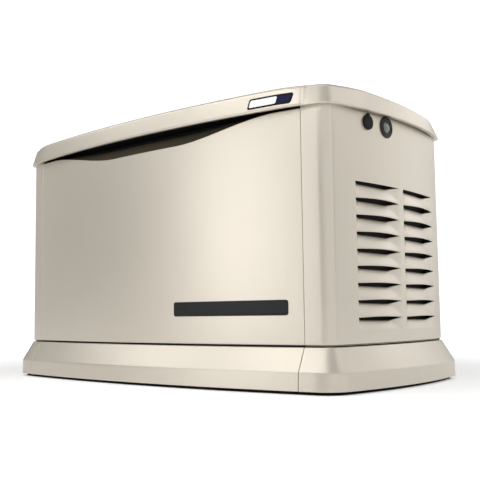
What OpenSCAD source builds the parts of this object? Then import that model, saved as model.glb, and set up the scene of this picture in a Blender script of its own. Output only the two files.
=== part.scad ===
// Home standby generator: a bowed sheet-metal enclosure on a wrapped base, with a hinged
// roof, a lift-off front door and an engine, alternator, battery and controls inside.
// Origin: middle of the footprint on the ground. +X along the length, the door faces -Y.

/* [Enclosure] */
// Length between the panel corners, before the ends bow out
body_l = 1118; // [1000:1:1200]
// Depth between the panel corners, before front and rear bow out
body_w = 546; // [500:1:600]
// How far the front bows out
bow_front = 46; // [30:1:55]
// How far each end bows out
bow_side = 31; // [15:1:40]
// How far the rear bows out
bow_rear = 8; // [4:1:20]
// Plan radius of the two front corners
corner_front = 35; // [25:1:60]
// Plan radius of the two rear corners
corner_rear = 30; // [20:1:60]
// Thickness of the enclosure sheet
sheet = 2; // [1.5:0.1:3]

/* [Heights] */
// Lower edge of the base wrap
skirt_foot = 8; // [4:1:15]
// Break between the upright band and the slope of the base wrap
skirt_break = 49; // [40:1:60]
// Lower edge of the door and panels
panel_foot = 106; // [95:1:115]
// Upper edge of the end and rear panels, up inside the roof
panel_top = 664; // [650:1:670]
// Lower edge of the roof
lid_foot = 656.5; // [640:0.5:660]
// Upper edge of the roof's upright band
lid_edge = 705; // [690:1:715]
// Rise of the roof's crown above its band
lid_crown = 34; // [20:1:50]
// How much lower the roof runs at the rear
lid_fall = 15; // [0:1:25]

/* [Base wrap and roof] */
// How far the base wrap stands out from the panels
skirt_out = 35; // [25:1:45]
// How far the roof stands out from the panels
lid_out = 19; // [15:1:25]
// Half the width of the door and of the front base wrap
door_half = 495; // [470:1:505]
// Dip of the door's upper edge below the roof
door_dip = 28; // [15:1:35]

/* [Louvres] */
// Rows of louvres on each end
louvre_rows = 9; // [5:1:9]
// Height from row to row
louvre_pitch = 39.8; // [36:0.1:40]
// Height of the top row's slot
louvre_top = 483; // [470:1:490]
// Rows of louvres on the rear
rear_rows = 7; // [4:1:9]

/* [Roof hinge and locks] */
// Distance of each hinge from the middle
hinge_x = 380; // [300:1:420]
// Depth of the roof hinge's axis
hinge_y = 306; // [305:0.5:307]
// Height of the roof hinge's axis
hinge_z = 656; // [654:0.5:658]
// Depth of the roof locks
lock_y = -113; // [-130:1:-100]
// Height of the roof locks and of the status light
lock_z = 632.5; // [625:0.5:635]
// Depth of the status light
status_y = -35; // [-50:1:0]

/* [Engine and alternator] */
// Depth of the crankshaft axis
shaft_y = 10; // [0:1:20]
// Height of the crankshaft axis
shaft_z = 250; // [240:1:260]
// Radius of the shaft
shaft_r = 20; // [15:1:25]
// Cooling fins on each cylinder
fin_count = 9; // [5:1:10]
// Blades on the flywheel fan
fan_blades = 16; // [10:1:20]

/* [Connections] */
// Distance of the anchor bolts from the middle, along the length
anchor_x = 470; // [440:1:490]
// Distance of the anchor bolts from the middle of the body, across it
anchor_y = 190; // [150:1:200]
// Radius of the anchor bolt holes
anchor_r = 5.5; // [4:0.5:7]
// Wall radius of the threaded gas inlet
fuel_r = 12.1; // [8:0.1:16]
// Wall radius of the cable entry
conduit_r = 14; // [10:0.5:18]

/* [Hidden] */
$fn = 64;

BEIGE = "#cfc7b6";
DARK = "#26241f";
STEEL = "#9a9a98";
ALLOY = "#b9babb";
RUBBER = "#171717";

// Steps along each stretch of the plan outline
front_steps = 14;
corner_steps = 6;
side_steps = 10;
rear_steps = 4;

plan_y = (bow_front - bow_rear) / 2;
gap = 3;

function bow_r(span, bow) = (span * span / 4 + bow * bow) / (2 * bow);
function meet(c1, r1, c2, r2) =
    let (d = norm(c2 - c1), u = (c2 - c1) / d, a = (r1 * r1 - r2 * r2 + d * d) / (2 * d))
    let (h = sqrt(r1 * r1 - a * a), n = [-u[1], u[0]], p = c1 + a * u + h * n, q = c1 + a * u - h * n)
    p[0] > q[0] ? p : q;
function heading(c, p) = atan2(p[1] - c[1], p[0] - c[0]);
function arc(c, r, a0, a1, n) =
    [for (i = [0:n - 1]) let (a = a0 + (a1 - a0) * i / n) c + r * [cos(a), sin(a)]];

front_r = bow_r(body_l, bow_front);
side_r = bow_r(body_w, bow_side);
rear_r = bow_r(body_l, bow_rear);
front_c = [0, plan_y - body_w / 2 - bow_front + front_r];
side_c = [body_l / 2 + bow_side - side_r, plan_y];
rear_c = [0, plan_y + body_w / 2 + bow_rear - rear_r];
corner_f = meet(front_c, front_r - corner_front, side_c, side_r - corner_front);
corner_b = meet(rear_c, rear_r - corner_rear, side_c, side_r - corner_rear);

// Plan outline of the right half, off outside the panels, from x0 on the front to x1 on the rear
function right_path(off, x0, x1) = concat(
    arc(front_c, front_r + off, asin(x0 / (front_r + off)) - 90, heading(front_c, corner_f), front_steps),
    arc(corner_f, corner_front + off, heading(front_c, corner_f), heading(side_c, corner_f), corner_steps),
    arc(side_c, side_r + off, heading(side_c, corner_f), heading(side_c, corner_b), side_steps),
    arc(corner_b, corner_rear + off, heading(side_c, corner_b), heading(rear_c, corner_b), corner_steps),
    arc(rear_c, rear_r + off, heading(rear_c, corner_b), 90 - asin(x1 / (rear_r + off)), rear_steps),
    [[x1, rear_c[1] + sqrt((rear_r + off) * (rear_r + off) - x1 * x1)]]
);
function front_path(off, x) =
    let (a = asin(x / (front_r + off)))
    concat(arc(front_c, front_r + off, -90 - a, -90 + a, 2 * front_steps),
        [front_c + (front_r + off) * [sin(a), -cos(a)]]);
function rear_path(off, x) =
    let (a = asin(x / (rear_r + off)))
    concat(arc(rear_c, rear_r + off, 90 - a, 90 + a, 2 * rear_steps),
        [rear_c + (rear_r + off) * [-sin(a), cos(a)]]);
function flip(path) = [for (i = [len(path) - 1:-1:0]) path[i]];
function full_path(off) =
    let (half = right_path(off, 0, 0), n = len(half))
    concat(half, [for (i = [n - 2:-1:1]) [-half[i][0], half[i][1]]]);

module wall(outer, inner, z0, z1) {
    translate([0, 0, z0]) linear_extrude(z1 - z0) polygon(concat(outer, flip(inner)));
}

module slab(off, z0, z1) {
    translate([0, 0, z0]) linear_extrude(z1 - z0) polygon(full_path(off));
}

// Shell strip: each corner of the profile [off, z] follows its own path of equal length
module strip(profile, paths) {
    n = len(profile);
    m = len(paths[0]);
    pts = [for (j = [0:m - 1]) for (i = [0:n - 1]) [paths[i][j][0], paths[i][j][1], profile[i][1]]];
    sides = [for (j = [0:m - 2]) for (i = [0:n - 1]) let (k = (i + 1) % n)
        [j * n + i, j * n + k, (j + 1) * n + k, (j + 1) * n + i]];
    polyhedron(pts, concat(sides, [[for (i = [n - 1:-1:0]) i]], [[for (i = [0:n - 1]) (m - 1) * n + i]]));
}

// Places children on the right end's surface, local +X outward
module at_side(y, z) {
    a = asin((y - plan_y) / side_r);
    translate([side_c[0] + side_r * cos(a), y, z]) rotate([0, 0, a]) children();
}

module mirrored_pair() {
    children();
    mirror([1, 0, 0]) children();
}

module rod_x(r, x0, x1) {
    translate([x0, 0, 0]) rotate([0, 90, 0]) cylinder(r = r, h = x1 - x0);
}

// Round bar through hand-set points, with a ball at each bend
module run(points, r) {
    for (i = [0:len(points) - 2]) {
        d = points[i + 1] - points[i];
        translate(points[i]) rotate([0, acos(d[2] / norm(d)), atan2(d[1], d[0])])
            cylinder(r = r, h = norm(d), $fn = 24);
    }
    for (i = [1:1:len(points) - 2]) translate(points[i]) sphere(r = r, $fn = 24);
}

// Flexible lead or hose: one solid swept along a smooth curve through hand-set points
sweep_sides = 10;
sweep_steps = 4;
function unit(v) = v / norm(v);
function along(p0, p1, p2, p3, t) = 0.5 * (2 * p1 + (p2 - p0) * t
    + (2 * p0 - 5 * p1 + 4 * p2 - p3) * t * t + (3 * p1 - p0 - 3 * p2 + p3) * t * t * t);
function smooth(points) = let (n = len(points)) concat(
    [for (i = [0:n - 2]) for (k = [0:sweep_steps - 1])
        along(points[max(i - 1, 0)], points[i], points[i + 1], points[min(i + 2, n - 1)], k / sweep_steps)],
    [points[n - 1]]);
function tangent(c, i) = unit(c[min(i + 1, len(c) - 1)] - c[max(i - 1, 0)]);
function carried(c, i, s) = i >= len(c) ? [] :
    let (d = tangent(c, i), t = unit(s - (s * d) * d)) concat([t], carried(c, i + 1, t));

module lead(points, r, start_side = [0, 0, 1]) {
    c = smooth(points);
    m = len(c);
    sides = carried(c, 0, start_side);
    pts = [for (i = [0:m - 1]) for (k = [0:sweep_sides - 1]) let (a = 360 * k / sweep_sides)
        c[i] + r * (cos(a) * sides[i] + sin(a) * cross(tangent(c, i), sides[i]))];
    walls = [for (i = [0:m - 2]) for (k = [0:sweep_sides - 1]) let (j = (k + 1) % sweep_sides)
        [i * sweep_sides + k, (i + 1) * sweep_sides + k, (i + 1) * sweep_sides + j, i * sweep_sides + j]];
    first = [for (k = [0:sweep_sides - 1]) k];
    last = [for (k = [sweep_sides - 1:-1:0]) (m - 1) * sweep_sides + k];
    polyhedron(pts, concat(walls, [first], [last]));
}

/* ---- base ---- */
pad_top = 40;
floor_top = 44;
tray_off = -6;

module anchor_holes(r, z0, z1) {
    for (sx = [-1, 1]) for (sy = [-1, 1])
        translate([sx * anchor_x, plan_y + sy * anchor_y, z0]) cylinder(r = r, h = z1 - z0);
}

module mounting_pad() color(DARK) difference() {
    slab(skirt_out - 15, 0, pad_top);
    anchor_holes(anchor_r, -1, pad_top + 1);
}

module base_tray() color(STEEL) difference() {
    union() {
        slab(tray_off, pad_top, floor_top);
        difference() {
            slab(tray_off, floor_top - 1, panel_foot - 2);
            slab(tray_off - sheet, floor_top - 2, panel_foot);
        }
    }
    anchor_holes(anchor_r, pad_top - 1, floor_top + 1);
}

skirt_t = 3;
skirt_profile = [
    [skirt_out, skirt_foot], [skirt_out - 1, skirt_break - 4], [skirt_out - 2, skirt_break],
    [skirt_out - 5, skirt_break + 4], [1, panel_foot - 0.5], [1 - skirt_t, panel_foot - 0.5],
    [skirt_out - 5 - skirt_t, skirt_break + 1], [skirt_out - skirt_t - 1, skirt_break - 4],
    [skirt_out - skirt_t, skirt_foot]
];
module skirt_front() color(BEIGE)
    strip(skirt_profile, [for (p = skirt_profile) front_path(p[0], door_half)]);
module skirt_rear() color(BEIGE)
    strip(skirt_profile, [for (p = skirt_profile) rear_path(p[0], door_half)]);
module skirt_right() color(BEIGE)
    strip(skirt_profile, [for (p = skirt_profile) right_path(p[0], door_half + 1, door_half + 1)]);
module skirt_left() color(BEIGE) mirror([1, 0, 0]) skirt_right();

/* ---- panels ---- */
louvre_cols = [[-163, 18], [37, 226]];
louvre_foot = louvre_top - louvre_rows * louvre_pitch + 8;
blade_in = 8;
blade_out = 5;
slot_h = 10;

blade_tuck = 3;

// One slanted blade, from a recessed upper edge to a proud lower edge, tucked into the panel's sides
module blade(width, rise) {
    slant = norm([blade_in + blade_out, rise]);
    translate([-blade_in, -width / 2 - blade_tuck, 0])
        rotate([0, -atan2(blade_in + blade_out, rise), 0]) translate([0, 0, -slant])
            cube([sheet, width + 2 * blade_tuck, slant]);
}

module louvre_bank(width, rows, top, pitch) {
    for (i = [0:rows - 1]) translate([0, 0, top - slot_h / 2 - i * pitch]) blade(width, pitch - slot_h);
}

module end_openings() {
    for (c = louvre_cols) at_side((c[0] + c[1]) / 2, louvre_foot)
        translate([-20, -(c[1] - c[0]) / 2, 0])
            cube([30, c[1] - c[0], louvre_top + slot_h / 2 - louvre_foot]);
    at_side(lock_y, lock_z) rod_x(lock_r + 0.05, -10, 5);
}

module end_shell() {
    difference() {
        wall(right_path(0, door_half + gap, door_half + gap),
            right_path(-sheet, door_half + gap, door_half + gap), panel_foot, panel_top);
        end_openings();
    }
    for (c = louvre_cols) at_side((c[0] + c[1]) / 2, 0)
        louvre_bank(c[1] - c[0], louvre_rows, louvre_top, louvre_pitch);
}

module end_panel_right() color(BEIGE) difference() {
    end_shell();
    at_side(status_y, lock_z) rod_x(status_neck_r, -10, 5);
}
module end_panel_left() color(BEIGE) mirror([1, 0, 0]) end_shell();

rear_louvre_x = 250;
rear_louvre_w = 260;
rear_louvre_top = 440;
rear_face = plan_y + body_w / 2 + bow_rear;

module at_rear(x, z) {
    a = asin(x / rear_r);
    translate([x, rear_c[1] + rear_r * cos(a), z]) rotate([0, 0, 90 - a]) children();
}

module rear_panel() color(BEIGE) {
    difference() {
        wall(rear_path(0, door_half), rear_path(-sheet, door_half), panel_foot, panel_top);
        for (s = [-1, 1]) at_rear(s * rear_louvre_x, rear_louvre_top - rear_rows * louvre_pitch + 8)
            translate([-20, -rear_louvre_w / 2, 0])
                cube([30, rear_louvre_w, rear_rows * louvre_pitch - 8 + slot_h / 2]);
        at_rear(-fuel_x, fuel_z) rod_x(fuel_body_r, -10, 5);
        at_rear(-conduit_x, fuel_z) rod_x(conduit_body_r, -10, 5);
    }
    for (s = [-1, 1]) at_rear(s * rear_louvre_x, 0)
        louvre_bank(rear_louvre_w, rear_rows, rear_louvre_top, louvre_pitch);
}

rail_y = -240;
rail_half = 545;
module front_rail() color(DARK) translate([-rail_half, rail_y, 640]) difference() {
    cube([2 * rail_half, 14, 24]);
    translate([-1, sheet, -1]) cube([2 * rail_half + 2, 14, 25 - sheet]);
}

divider_x = 300;
module exhaust_divider() color(STEEL) difference() {
    translate([divider_x, -225, floor_top]) cube([sheet, 480, 590]);
    for (s = [-1, 1]) translate([0, shaft_y + s * port_y, port_z]) rod_x(28, divider_x - 5, divider_x + 5);
    translate([0, shaft_y, shaft_z - 60]) rod_x(60, divider_x - 5, divider_x + 5);
}

module rim_seal() color(RUBBER) mirrored_pair()
    wall(right_path(1, door_half + gap, 2), right_path(-4, door_half + gap, 2), panel_top, panel_top + 6);

/* ---- roof hinge ---- */
knuckle_r = 5;
pin_r = 3;
leaf_w = 60;
module hinge_pair() {
    for (s = [-1, 1]) translate([s * hinge_x, 0, 0]) children();
}

leaf_y = rear_c[1] + sqrt(rear_r * rear_r - (hinge_x - leaf_w / 2) * (hinge_x - leaf_w / 2)) + 0.1;
module hinge_leaves_fixed() color(DARK) hinge_pair() difference() {
    union() {
        translate([-leaf_w / 2, leaf_y, hinge_z - 46]) cube([leaf_w, 2, 36]);
        translate([-9, leaf_y, hinge_z - 12]) cube([18, hinge_y - leaf_y, 12]);
        translate([0, hinge_y, hinge_z]) rod_x(knuckle_r, -9, 9);
    }
    translate([0, hinge_y, hinge_z]) rod_x(pin_r, -10, 10);
}

module hinge_pins() color(STEEL) hinge_pair() translate([0, hinge_y, hinge_z]) rod_x(pin_r, -30, 30);

strap_top = 679;
module lid_hinge_leaves() color(DARK) hinge_pair() difference() {
    union() {
        for (s = [-1, 1]) translate([s * 19, hinge_y, hinge_z]) {
            rod_x(knuckle_r, -9, 9);
            translate([-9, -2, 0]) cube([18, 3, strap_top - hinge_z]);
        }
        translate([-28, hinge_y - 36, strap_top - 3]) cube([56, 37, 3]);
    }
    translate([0, hinge_y, hinge_z]) rod_x(pin_r + 0.05, -40, 40);
}

/* ---- roof ---- */
lid_t = 2.5;
lid_depth = body_w + bow_front + bow_rear;
function fall(y) = lid_fall * min(1, max(0, (y + 200) / (lid_depth - 100)));
// Each ring: outline offset, height, share of the rearward fall
lid_rings = [
    [lid_out, lid_foot, 0], [lid_out, lid_foot + 4, 0], [lid_out - 2, lid_foot + 7, 0.1],
    [lid_out - 4.5, lid_edge - 10, 0.85], [lid_out - 6, lid_edge - 4.5, 1],
    [lid_out - 9.5, lid_edge - 1.2, 1], [lid_out - 14, lid_edge, 1]
];
dome_steps = [0.93, 0.8, 0.6, 0.35];
function ring_points(off, z, share) =
    [for (p = full_path(off)) [p[0], p[1], z - share * fall(p[1])]];
function dome_points(off, z, s) =
    [for (p = full_path(off)) let (x = s * p[0], y = plan_y + s * (p[1] - plan_y))
        [x, y, z + lid_crown * (1 - s * s) - fall(y)]];
function lid_skin(t) = concat(
    [for (r = lid_rings) ring_points(r[0] - t, r[1] - (r[2] > 0.5 ? t : 0), r[2])],
    [for (s = dome_steps) dome_points(lid_out - 14 - t, lid_edge - t, s)]
);
function flat_list(lists) = [for (l = lists) for (p = l) p];

module lid() color(BEIGE) {
    outer = lid_skin(0);
    inner = lid_skin(lid_t);
    k = len(outer);
    n = len(outer[0]);
    apex = lid_edge + lid_crown - fall(plan_y);
    pts = concat(flat_list(outer), flat_list(inner), [[0, plan_y, apex], [0, plan_y, apex - lid_t]]);
    top = 2 * k * n;
    skin = [for (r = [0:k - 2]) for (i = [0:n - 1]) let (j = (i + 1) % n)
        [r * n + i, (r + 1) * n + i, (r + 1) * n + j, r * n + j]];
    lining = [for (f = skin) [for (i = [3:-1:0]) f[i] + k * n]];
    rim = [for (i = [0:n - 1]) let (j = (i + 1) % n) [i, j, k * n + j, k * n + i]];
    cap = [for (i = [0:n - 1]) let (j = (i + 1) % n) [(k - 1) * n + i, top, (k - 1) * n + j]];
    cap_in = [for (i = [0:n - 1]) let (j = (i + 1) % n)
        [(2 * k - 1) * n + j, top + 1, (2 * k - 1) * n + i]];
    polyhedron(pts, concat(skin, lining, rim, cap, cap_in));
}

liner_off = -28;
module lid_liner() color("#3a3a3c") slab(liner_off, 673, 687);

badge_x = 427;
badge_z = 677;
module lid_badge() color("#e8e8e6") {
    a = asin(badge_x / (front_r + lid_out));
    translate([badge_x, front_c[1] - (front_r + lid_out) * cos(a) + 1.2, badge_z]) rotate([-5, 0, a])
        translate([-60, -1.2, -12.5]) cube([120, 1.8, 25]);
}

catch_x = -24;
module lid_catches() color(STEEL) mirrored_pair() at_side(lock_y, 0) translate([catch_x, 34, lock_z - 14]) {
    cube([2.5, 16, 690 - lock_z]);
    translate([0, -18, 0]) cube([6, 34, 3]);
}

/* ---- door ---- */
door_top = lid_foot - 2.5;
dip_r = bow_r(2 * door_half, door_dip);
module front_door() color(BEIGE) difference() {
    union() {
        wall(front_path(0, door_half), front_path(-sheet, door_half), panel_foot + 1, door_top);
        for (s = [-1, 1]) translate([s * (door_half - 1) - 1, front_edge_y, panel_foot + 1])
            cube([2, 18, 480]);
        wall(front_path(-sheet + 0.5, door_half - 6), front_path(-16, door_half - 6), panel_foot + 1,
            panel_foot + 3);
    }
    translate([0, 0, door_top - door_dip + dip_r]) rotate([90, 0, 0])
        cylinder(r = dip_r, h = 700, center = true, $fn = 720);
}
front_edge_y = front_c[1] - sqrt(front_r * front_r - door_half * door_half) + 0.5;

/* ---- locks and status light, right end ---- */
lock_r = 9;
status_neck_r = 23;
module lock_barrel() {
    rod_x(lock_r, -18, 3);
    translate([-22, -6, -6]) cube([4, 12, 34]);
}
module lock_barrel_right() color(STEEL) at_side(lock_y, lock_z) lock_barrel();
module lock_barrel_left() color(STEEL) mirror([1, 0, 0]) at_side(lock_y, lock_z) lock_barrel();

cover_r = 18;
module lock_cover() {
    rod_x(cover_r, 3.4, 6.4);
    translate([1.5, -4, cover_r - 3]) cube([4.9, 8, 6]);
}
module lock_cover_right() color(RUBBER) at_side(lock_y, lock_z) lock_cover();
module lock_cover_left() color(RUBBER) mirror([1, 0, 0]) at_side(lock_y, lock_z) lock_cover();

module status_bezel() color(RUBBER) at_side(status_y, lock_z) difference() {
    union() {
        rod_x(27, 0, 3.2);
        rod_x(status_neck_r, -14, 0);
    }
    rod_x(lens_r, -15, 5);
}
// Lens turned about its own axis: a short stem with a shallow dome
lens_r = 13.5;
lens_face = 2.6;
dome_rise = 3.4;
dome_r = bow_r(2 * lens_r, dome_rise);
dome_from = asin(lens_r / dome_r);
dome_parts = 8;
module status_lens() color("#a9ae9b") at_side(status_y, lock_z) rotate([0, 90, 0]) rotate_extrude()
    polygon(concat([[0, -10], [lens_r, -10]],
        [for (i = [0:dome_parts]) let (a = dome_from * (1 - i / dome_parts))
        [dome_r * sin(a), lens_face + dome_rise - dome_r * (1 - cos(a))]]));

screw_r = 5;
module enclosure_screws() color(STEEL) {
    for (s = [-1, 1]) for (z = [150, 320, 490, 620]) at_rear(s * (door_half - 12), z)
        rod_x(screw_r, 0.05, 3, $fn = 24);
}

/* ---- controls ---- */
box_x = -540;
box_y = -222;
box_z = 430;
box_l = 210;
box_d = 170;
box_h = 180;
deck = box_z + box_h;
bezel_l = 125;
bezel_d = 110;
bezel_at = [box_x + 8, box_y + 30];
button_r = 7;
button_xs = [25, 62.5, 100];
button_row = 22;
module control_box() color(DARK) translate([box_x, box_y, box_z]) difference() {
    cube([box_l, box_d, box_h]);
    translate([sheet, sheet, sheet]) cube([box_l - 2 * sheet, box_d - 2 * sheet, box_h - 2 * sheet]);
    translate([145, 40, box_h - 5]) cube([50, 84, 10]);
    translate([14, 36, box_h - 5]) cube([bezel_l - 12, bezel_d - 12, 10]);
}
module control_bezel() color("#2c2e31") translate([bezel_at[0], bezel_at[1], deck]) difference() {
    cube([bezel_l, bezel_d, 8]);
    translate([18, 48, 5]) cube([89, 44, 5]);
    for (x = button_xs) translate([x, button_row, -1]) cylinder(r = button_r + 0.4, h = 12);
}
module display_window() color("#3b4a3c")
    translate([bezel_at[0] + 18.5, bezel_at[1] + 48.5, deck + 5]) cube([88, 43, 2.2]);
module button(i) translate([bezel_at[0] + button_xs[i], bezel_at[1] + button_row, deck - 2]) {
    cylinder(r = button_r, h = 13);
}
module button_auto() color("#2f7d3c") button(0);
module button_off() color("#b0261f") button(1);
module button_manual() color("#2b4f8f") button(2);

breaker_at = [box_x + 146, box_y + 41, deck - 40];
toggle_y = breaker_at[1] + 41;
toggle_z = deck + 6;
module breaker_body() color("#222326") difference() {
    translate(breaker_at) cube([48, 82, 52]);
    translate([breaker_at[0] + 14, toggle_y - 22, deck - 6]) cube([20, 44, 20]);
}
module breaker_toggle() color("#d9d6cd") translate([breaker_at[0] + 24, toggle_y, toggle_z])
rotate([25, 0, 0]) {
    rod_x(7, -9.5, 9.5);
    translate([-6, -3, 0]) cube([12, 6, 24]);
}

battery_at = [-545, -226, floor_top];
battery_size = [173, 208, 180];
module battery() color("#1c1d20") translate(battery_at) {
    cube(battery_size);
    for (y = [30, 178]) translate([140, y, 180]) cylinder(r = 9, h = 16);
}
strap_z = battery_size[2];
module battery_strap() color(STEEL) translate([battery_at[0] + 60, battery_at[1], floor_top]) {
    translate([0, -3, 0]) cube([25, 2.8, strap_z + 3]);
    translate([0, battery_size[1] + 0.2, 0]) cube([25, 2.8, strap_z + 3]);
    translate([0, -3, strap_z + 0.2]) cube([25, battery_size[1] + 6, 2.8]);
}

/* ---- engine ---- */
case_x0 = -60;
case_x1 = 140;
bank_x = 40;
port_y = 145;
port_z = 395;
bank_from = 96;
bank_h = 108;

module engine_cradle() color(DARK) {
    for (s = [-1, 1]) translate([-345, shaft_y + s * 95 - 20, 70]) cube([500, 40, 12]);
    for (x = [-345, 60]) translate([x, shaft_y - 80, 70]) cube([40, 160, 12]);
    for (s = [-1, 1]) translate([case_x0 + 20, shaft_y + s * 95 - 15, 81]) cube([160, 30, 69]);
    translate([-345, shaft_y - 60, 81]) cube([30, 120, 48]);
}
module rubber_mounts() color(RUBBER)
    for (x = [-325, 120]) for (s = [-1, 1]) translate([x, shaft_y + s * 95, floor_top])
        cylinder(r = 22, h = 26);

// Block with its two upper corners cut square to the cylinder banks
module case_block() difference() {
    translate([case_x0, shaft_y - 120, 150]) cube([case_x1 - case_x0, 240, 170]);
    for (s = [-1, 1]) bank(s) translate([-200, -100, bank_from]) cube([400, 200, 200]);
}

module crankcase() color(ALLOY) difference() {
    union() {
        case_block();
        translate([0, shaft_y, shaft_z]) rod_x(118, -128, case_x0 + 1);
        translate([case_x0 + 20, shaft_y - 140, 200]) cylinder(r = 12, h = 150);
        translate([case_x0 + 8, shaft_y - 150, 185]) cube([24, 40, 30]);
    }
    translate([0, shaft_y, shaft_z]) rod_x(95, -130, case_x0 - 12);
    translate([0, shaft_y, shaft_z]) rod_x(shaft_r + 0.06, case_x0 - 20, case_x1 + 5);
    translate([case_x0 + 10, shaft_y - 80, 165]) cube([case_x1 - case_x0 - 20, 160, 130]);
    translate([case_x0 + 20, shaft_y - 140, 210]) cylinder(r = 8, h = 150);
}

module bank(s) translate([bank_x, shaft_y, shaft_z]) rotate([-s * 45, 0, 0]) children();

module cylinder_banks() color(ALLOY) for (s = [-1, 1]) bank(s) difference() {
    union() {
        translate([0, 0, bank_from]) cylinder(r = 46, h = bank_h);
        for (i = [0:fin_count - 1]) translate([-58, -44, bank_from + 10 + i * 10.5]) cube([116, 88, 3]);
        translate([-60, -46, bank_from + bank_h - 4]) cube([120, 92, 14]);
    }
    translate([0, 0, bank_from - 1]) cylinder(r = 36, h = bank_h - 10);
}

cover_from = bank_from + bank_h + 10;
module rocker_covers() color(DARK) for (s = [-1, 1]) bank(s) translate([0, 0, cover_from]) {
    translate([-56, -42, 0]) cube([112, 84, 34]);
    for (x = [-45, 45]) translate([x, 0, 34]) cylinder(r = 6, h = 5);
}

fan_x0 = 160;
fan_x1 = 218;
fan_r = 128;
module blower_housing() color(DARK) translate([0, shaft_y, shaft_z]) difference() {
    union() {
        rod_x(145, fan_x0 - 14, fan_x1 + 12);
        translate([fan_x0 - 14, -145, 0]) cube([fan_x1 - fan_x0 + 26, 290, 120]);
    }
    rod_x(fan_r + 6, fan_x0 - 8, fan_x1 + 6);
    rod_x(70, fan_x1, fan_x1 + 20);
    rod_x(shaft_r + 4, fan_x0 - 20, fan_x0);
    translate([fan_x0 - 8, -80, 60]) cube([fan_x1 - fan_x0 + 14, 160, 80]);
}

module flywheel_fan() color("#4a4d50") translate([0, shaft_y, shaft_z]) {
    difference() {
        rod_x(fan_r, fan_x0, fan_x0 + 10);
        rod_x(shaft_r, fan_x0 - 5, fan_x0 + 20);
    }
    for (i = [0:fan_blades - 1]) rotate([i * 360 / fan_blades, 0, 0])
        translate([fan_x0 + 9, 70, -2]) cube([fan_x1 - fan_x0 - 9, fan_r - 72, 4]);
}

can_x0 = -330;
can_x1 = -128;
module stator_can() color(STEEL) translate([0, shaft_y, shaft_z]) difference() {
    rod_x(118, can_x0, can_x1);
    rod_x(92, can_x0 - 1, can_x1 + 1);
}
module bearing_carrier() color(ALLOY) translate([0, shaft_y, shaft_z]) difference() {
    rod_x(118, can_x0 - 16, can_x0);
    rod_x(shaft_r + 0.05, can_x0 - 20, can_x0 + 4);
    for (i = [0:7]) rotate([i * 45, 0, 0]) translate([0, 72, 0]) rod_x(16, can_x0 - 20, can_x0 + 4);
}
module rotor_shaft() color(STEEL) translate([0, shaft_y, shaft_z]) {
    rod_x(shaft_r, can_x0 - 18, fan_x1 + 6);
    rod_x(88, can_x0 + 20, can_x1 - 20);
}

module starter_motor() color(DARK) translate([0, shaft_y + 158, 170]) {
    rod_x(36, -50, 60);
    translate([0, 0, 46]) rod_x(20, -40, 30);
    rod_x(20, 60, 78);
}
module oil_filter() color("#20355e") translate([95, shaft_y - 120, 200]) rotate([90, 0, 0])
    cylinder(r = 37, h = 88);

module intake_mixer() color(ALLOY) difference() {
    union() {
        translate([bank_x, shaft_y, 321]) cylinder(r = 30, h = 119);
        translate([bank_x - 45, shaft_y - 24, 352]) cube([90, 48, 34]);
    }
    translate([bank_x, shaft_y, 330]) cylinder(r = 22, h = 130);
}
airbox_z = 440;
module airbox() color(DARK) difference() {
    translate([bank_x - 90, shaft_y - 60, airbox_z]) cube([180, 120, 90]);
    translate([bank_x - 86, shaft_y - 56, airbox_z + 4]) cube([172, 112, 100]);
    translate([bank_x, shaft_y, airbox_z - 2]) cylinder(r = 22, h = 10);
}
module airbox_cover() color(RUBBER) translate([bank_x - 92, shaft_y - 62, airbox_z + 90.3]) {
    cube([184, 124, 10]);
    translate([60, 52, 10]) cube([64, 20, 14]);
}

dip_x = case_x0 + 20;
dip_y = shaft_y - 140;
module dipstick() color("#d8a51c") {
    translate([dip_x, dip_y, 215]) cylinder(r = 3, h = 140);
    translate([dip_x, dip_y, 350.3]) cylinder(r = 13, h = 10);
    translate([dip_x - 14, dip_y - 3, 360]) difference() {
        cube([28, 6, 26]);
        translate([6, -1, 6]) cube([16, 8, 12]);
    }
}

muffler_x = 410;
muffler_r = 76;
muffler_z = 190;
module exhaust_pipes() color("#8c8478") for (s = [-1, 1])
    run([[bank_x + 60.3, shaft_y + s * port_y, port_z], [muffler_x, shaft_y + s * port_y, port_z],
        [muffler_x, shaft_y + s * port_y, muffler_z + muffler_r - 6]], 19);
module muffler() color("#8c8478") difference() {
    union() {
        translate([muffler_x, shaft_y - 185, muffler_z]) rotate([-90, 0, 0]) cylinder(r = muffler_r, h = 370);
        translate([muffler_x, shaft_y, muffler_z]) rod_x(22, 0, 130);
        for (s = [-1, 1]) translate([muffler_x - 20, shaft_y + s * 140 - 10, floor_top]) cube([40, 20, 90]);
    }
    translate([muffler_x, shaft_y - 181, muffler_z]) rotate([-90, 0, 0]) cylinder(r = muffler_r - 4, h = 362);
    translate([muffler_x, shaft_y, muffler_z]) rod_x(19, 60, 140);
    for (s = [-1, 1]) translate([muffler_x, shaft_y + s * port_y, muffler_z + 20]) cylinder(r = 19, h = 80);
}

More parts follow.
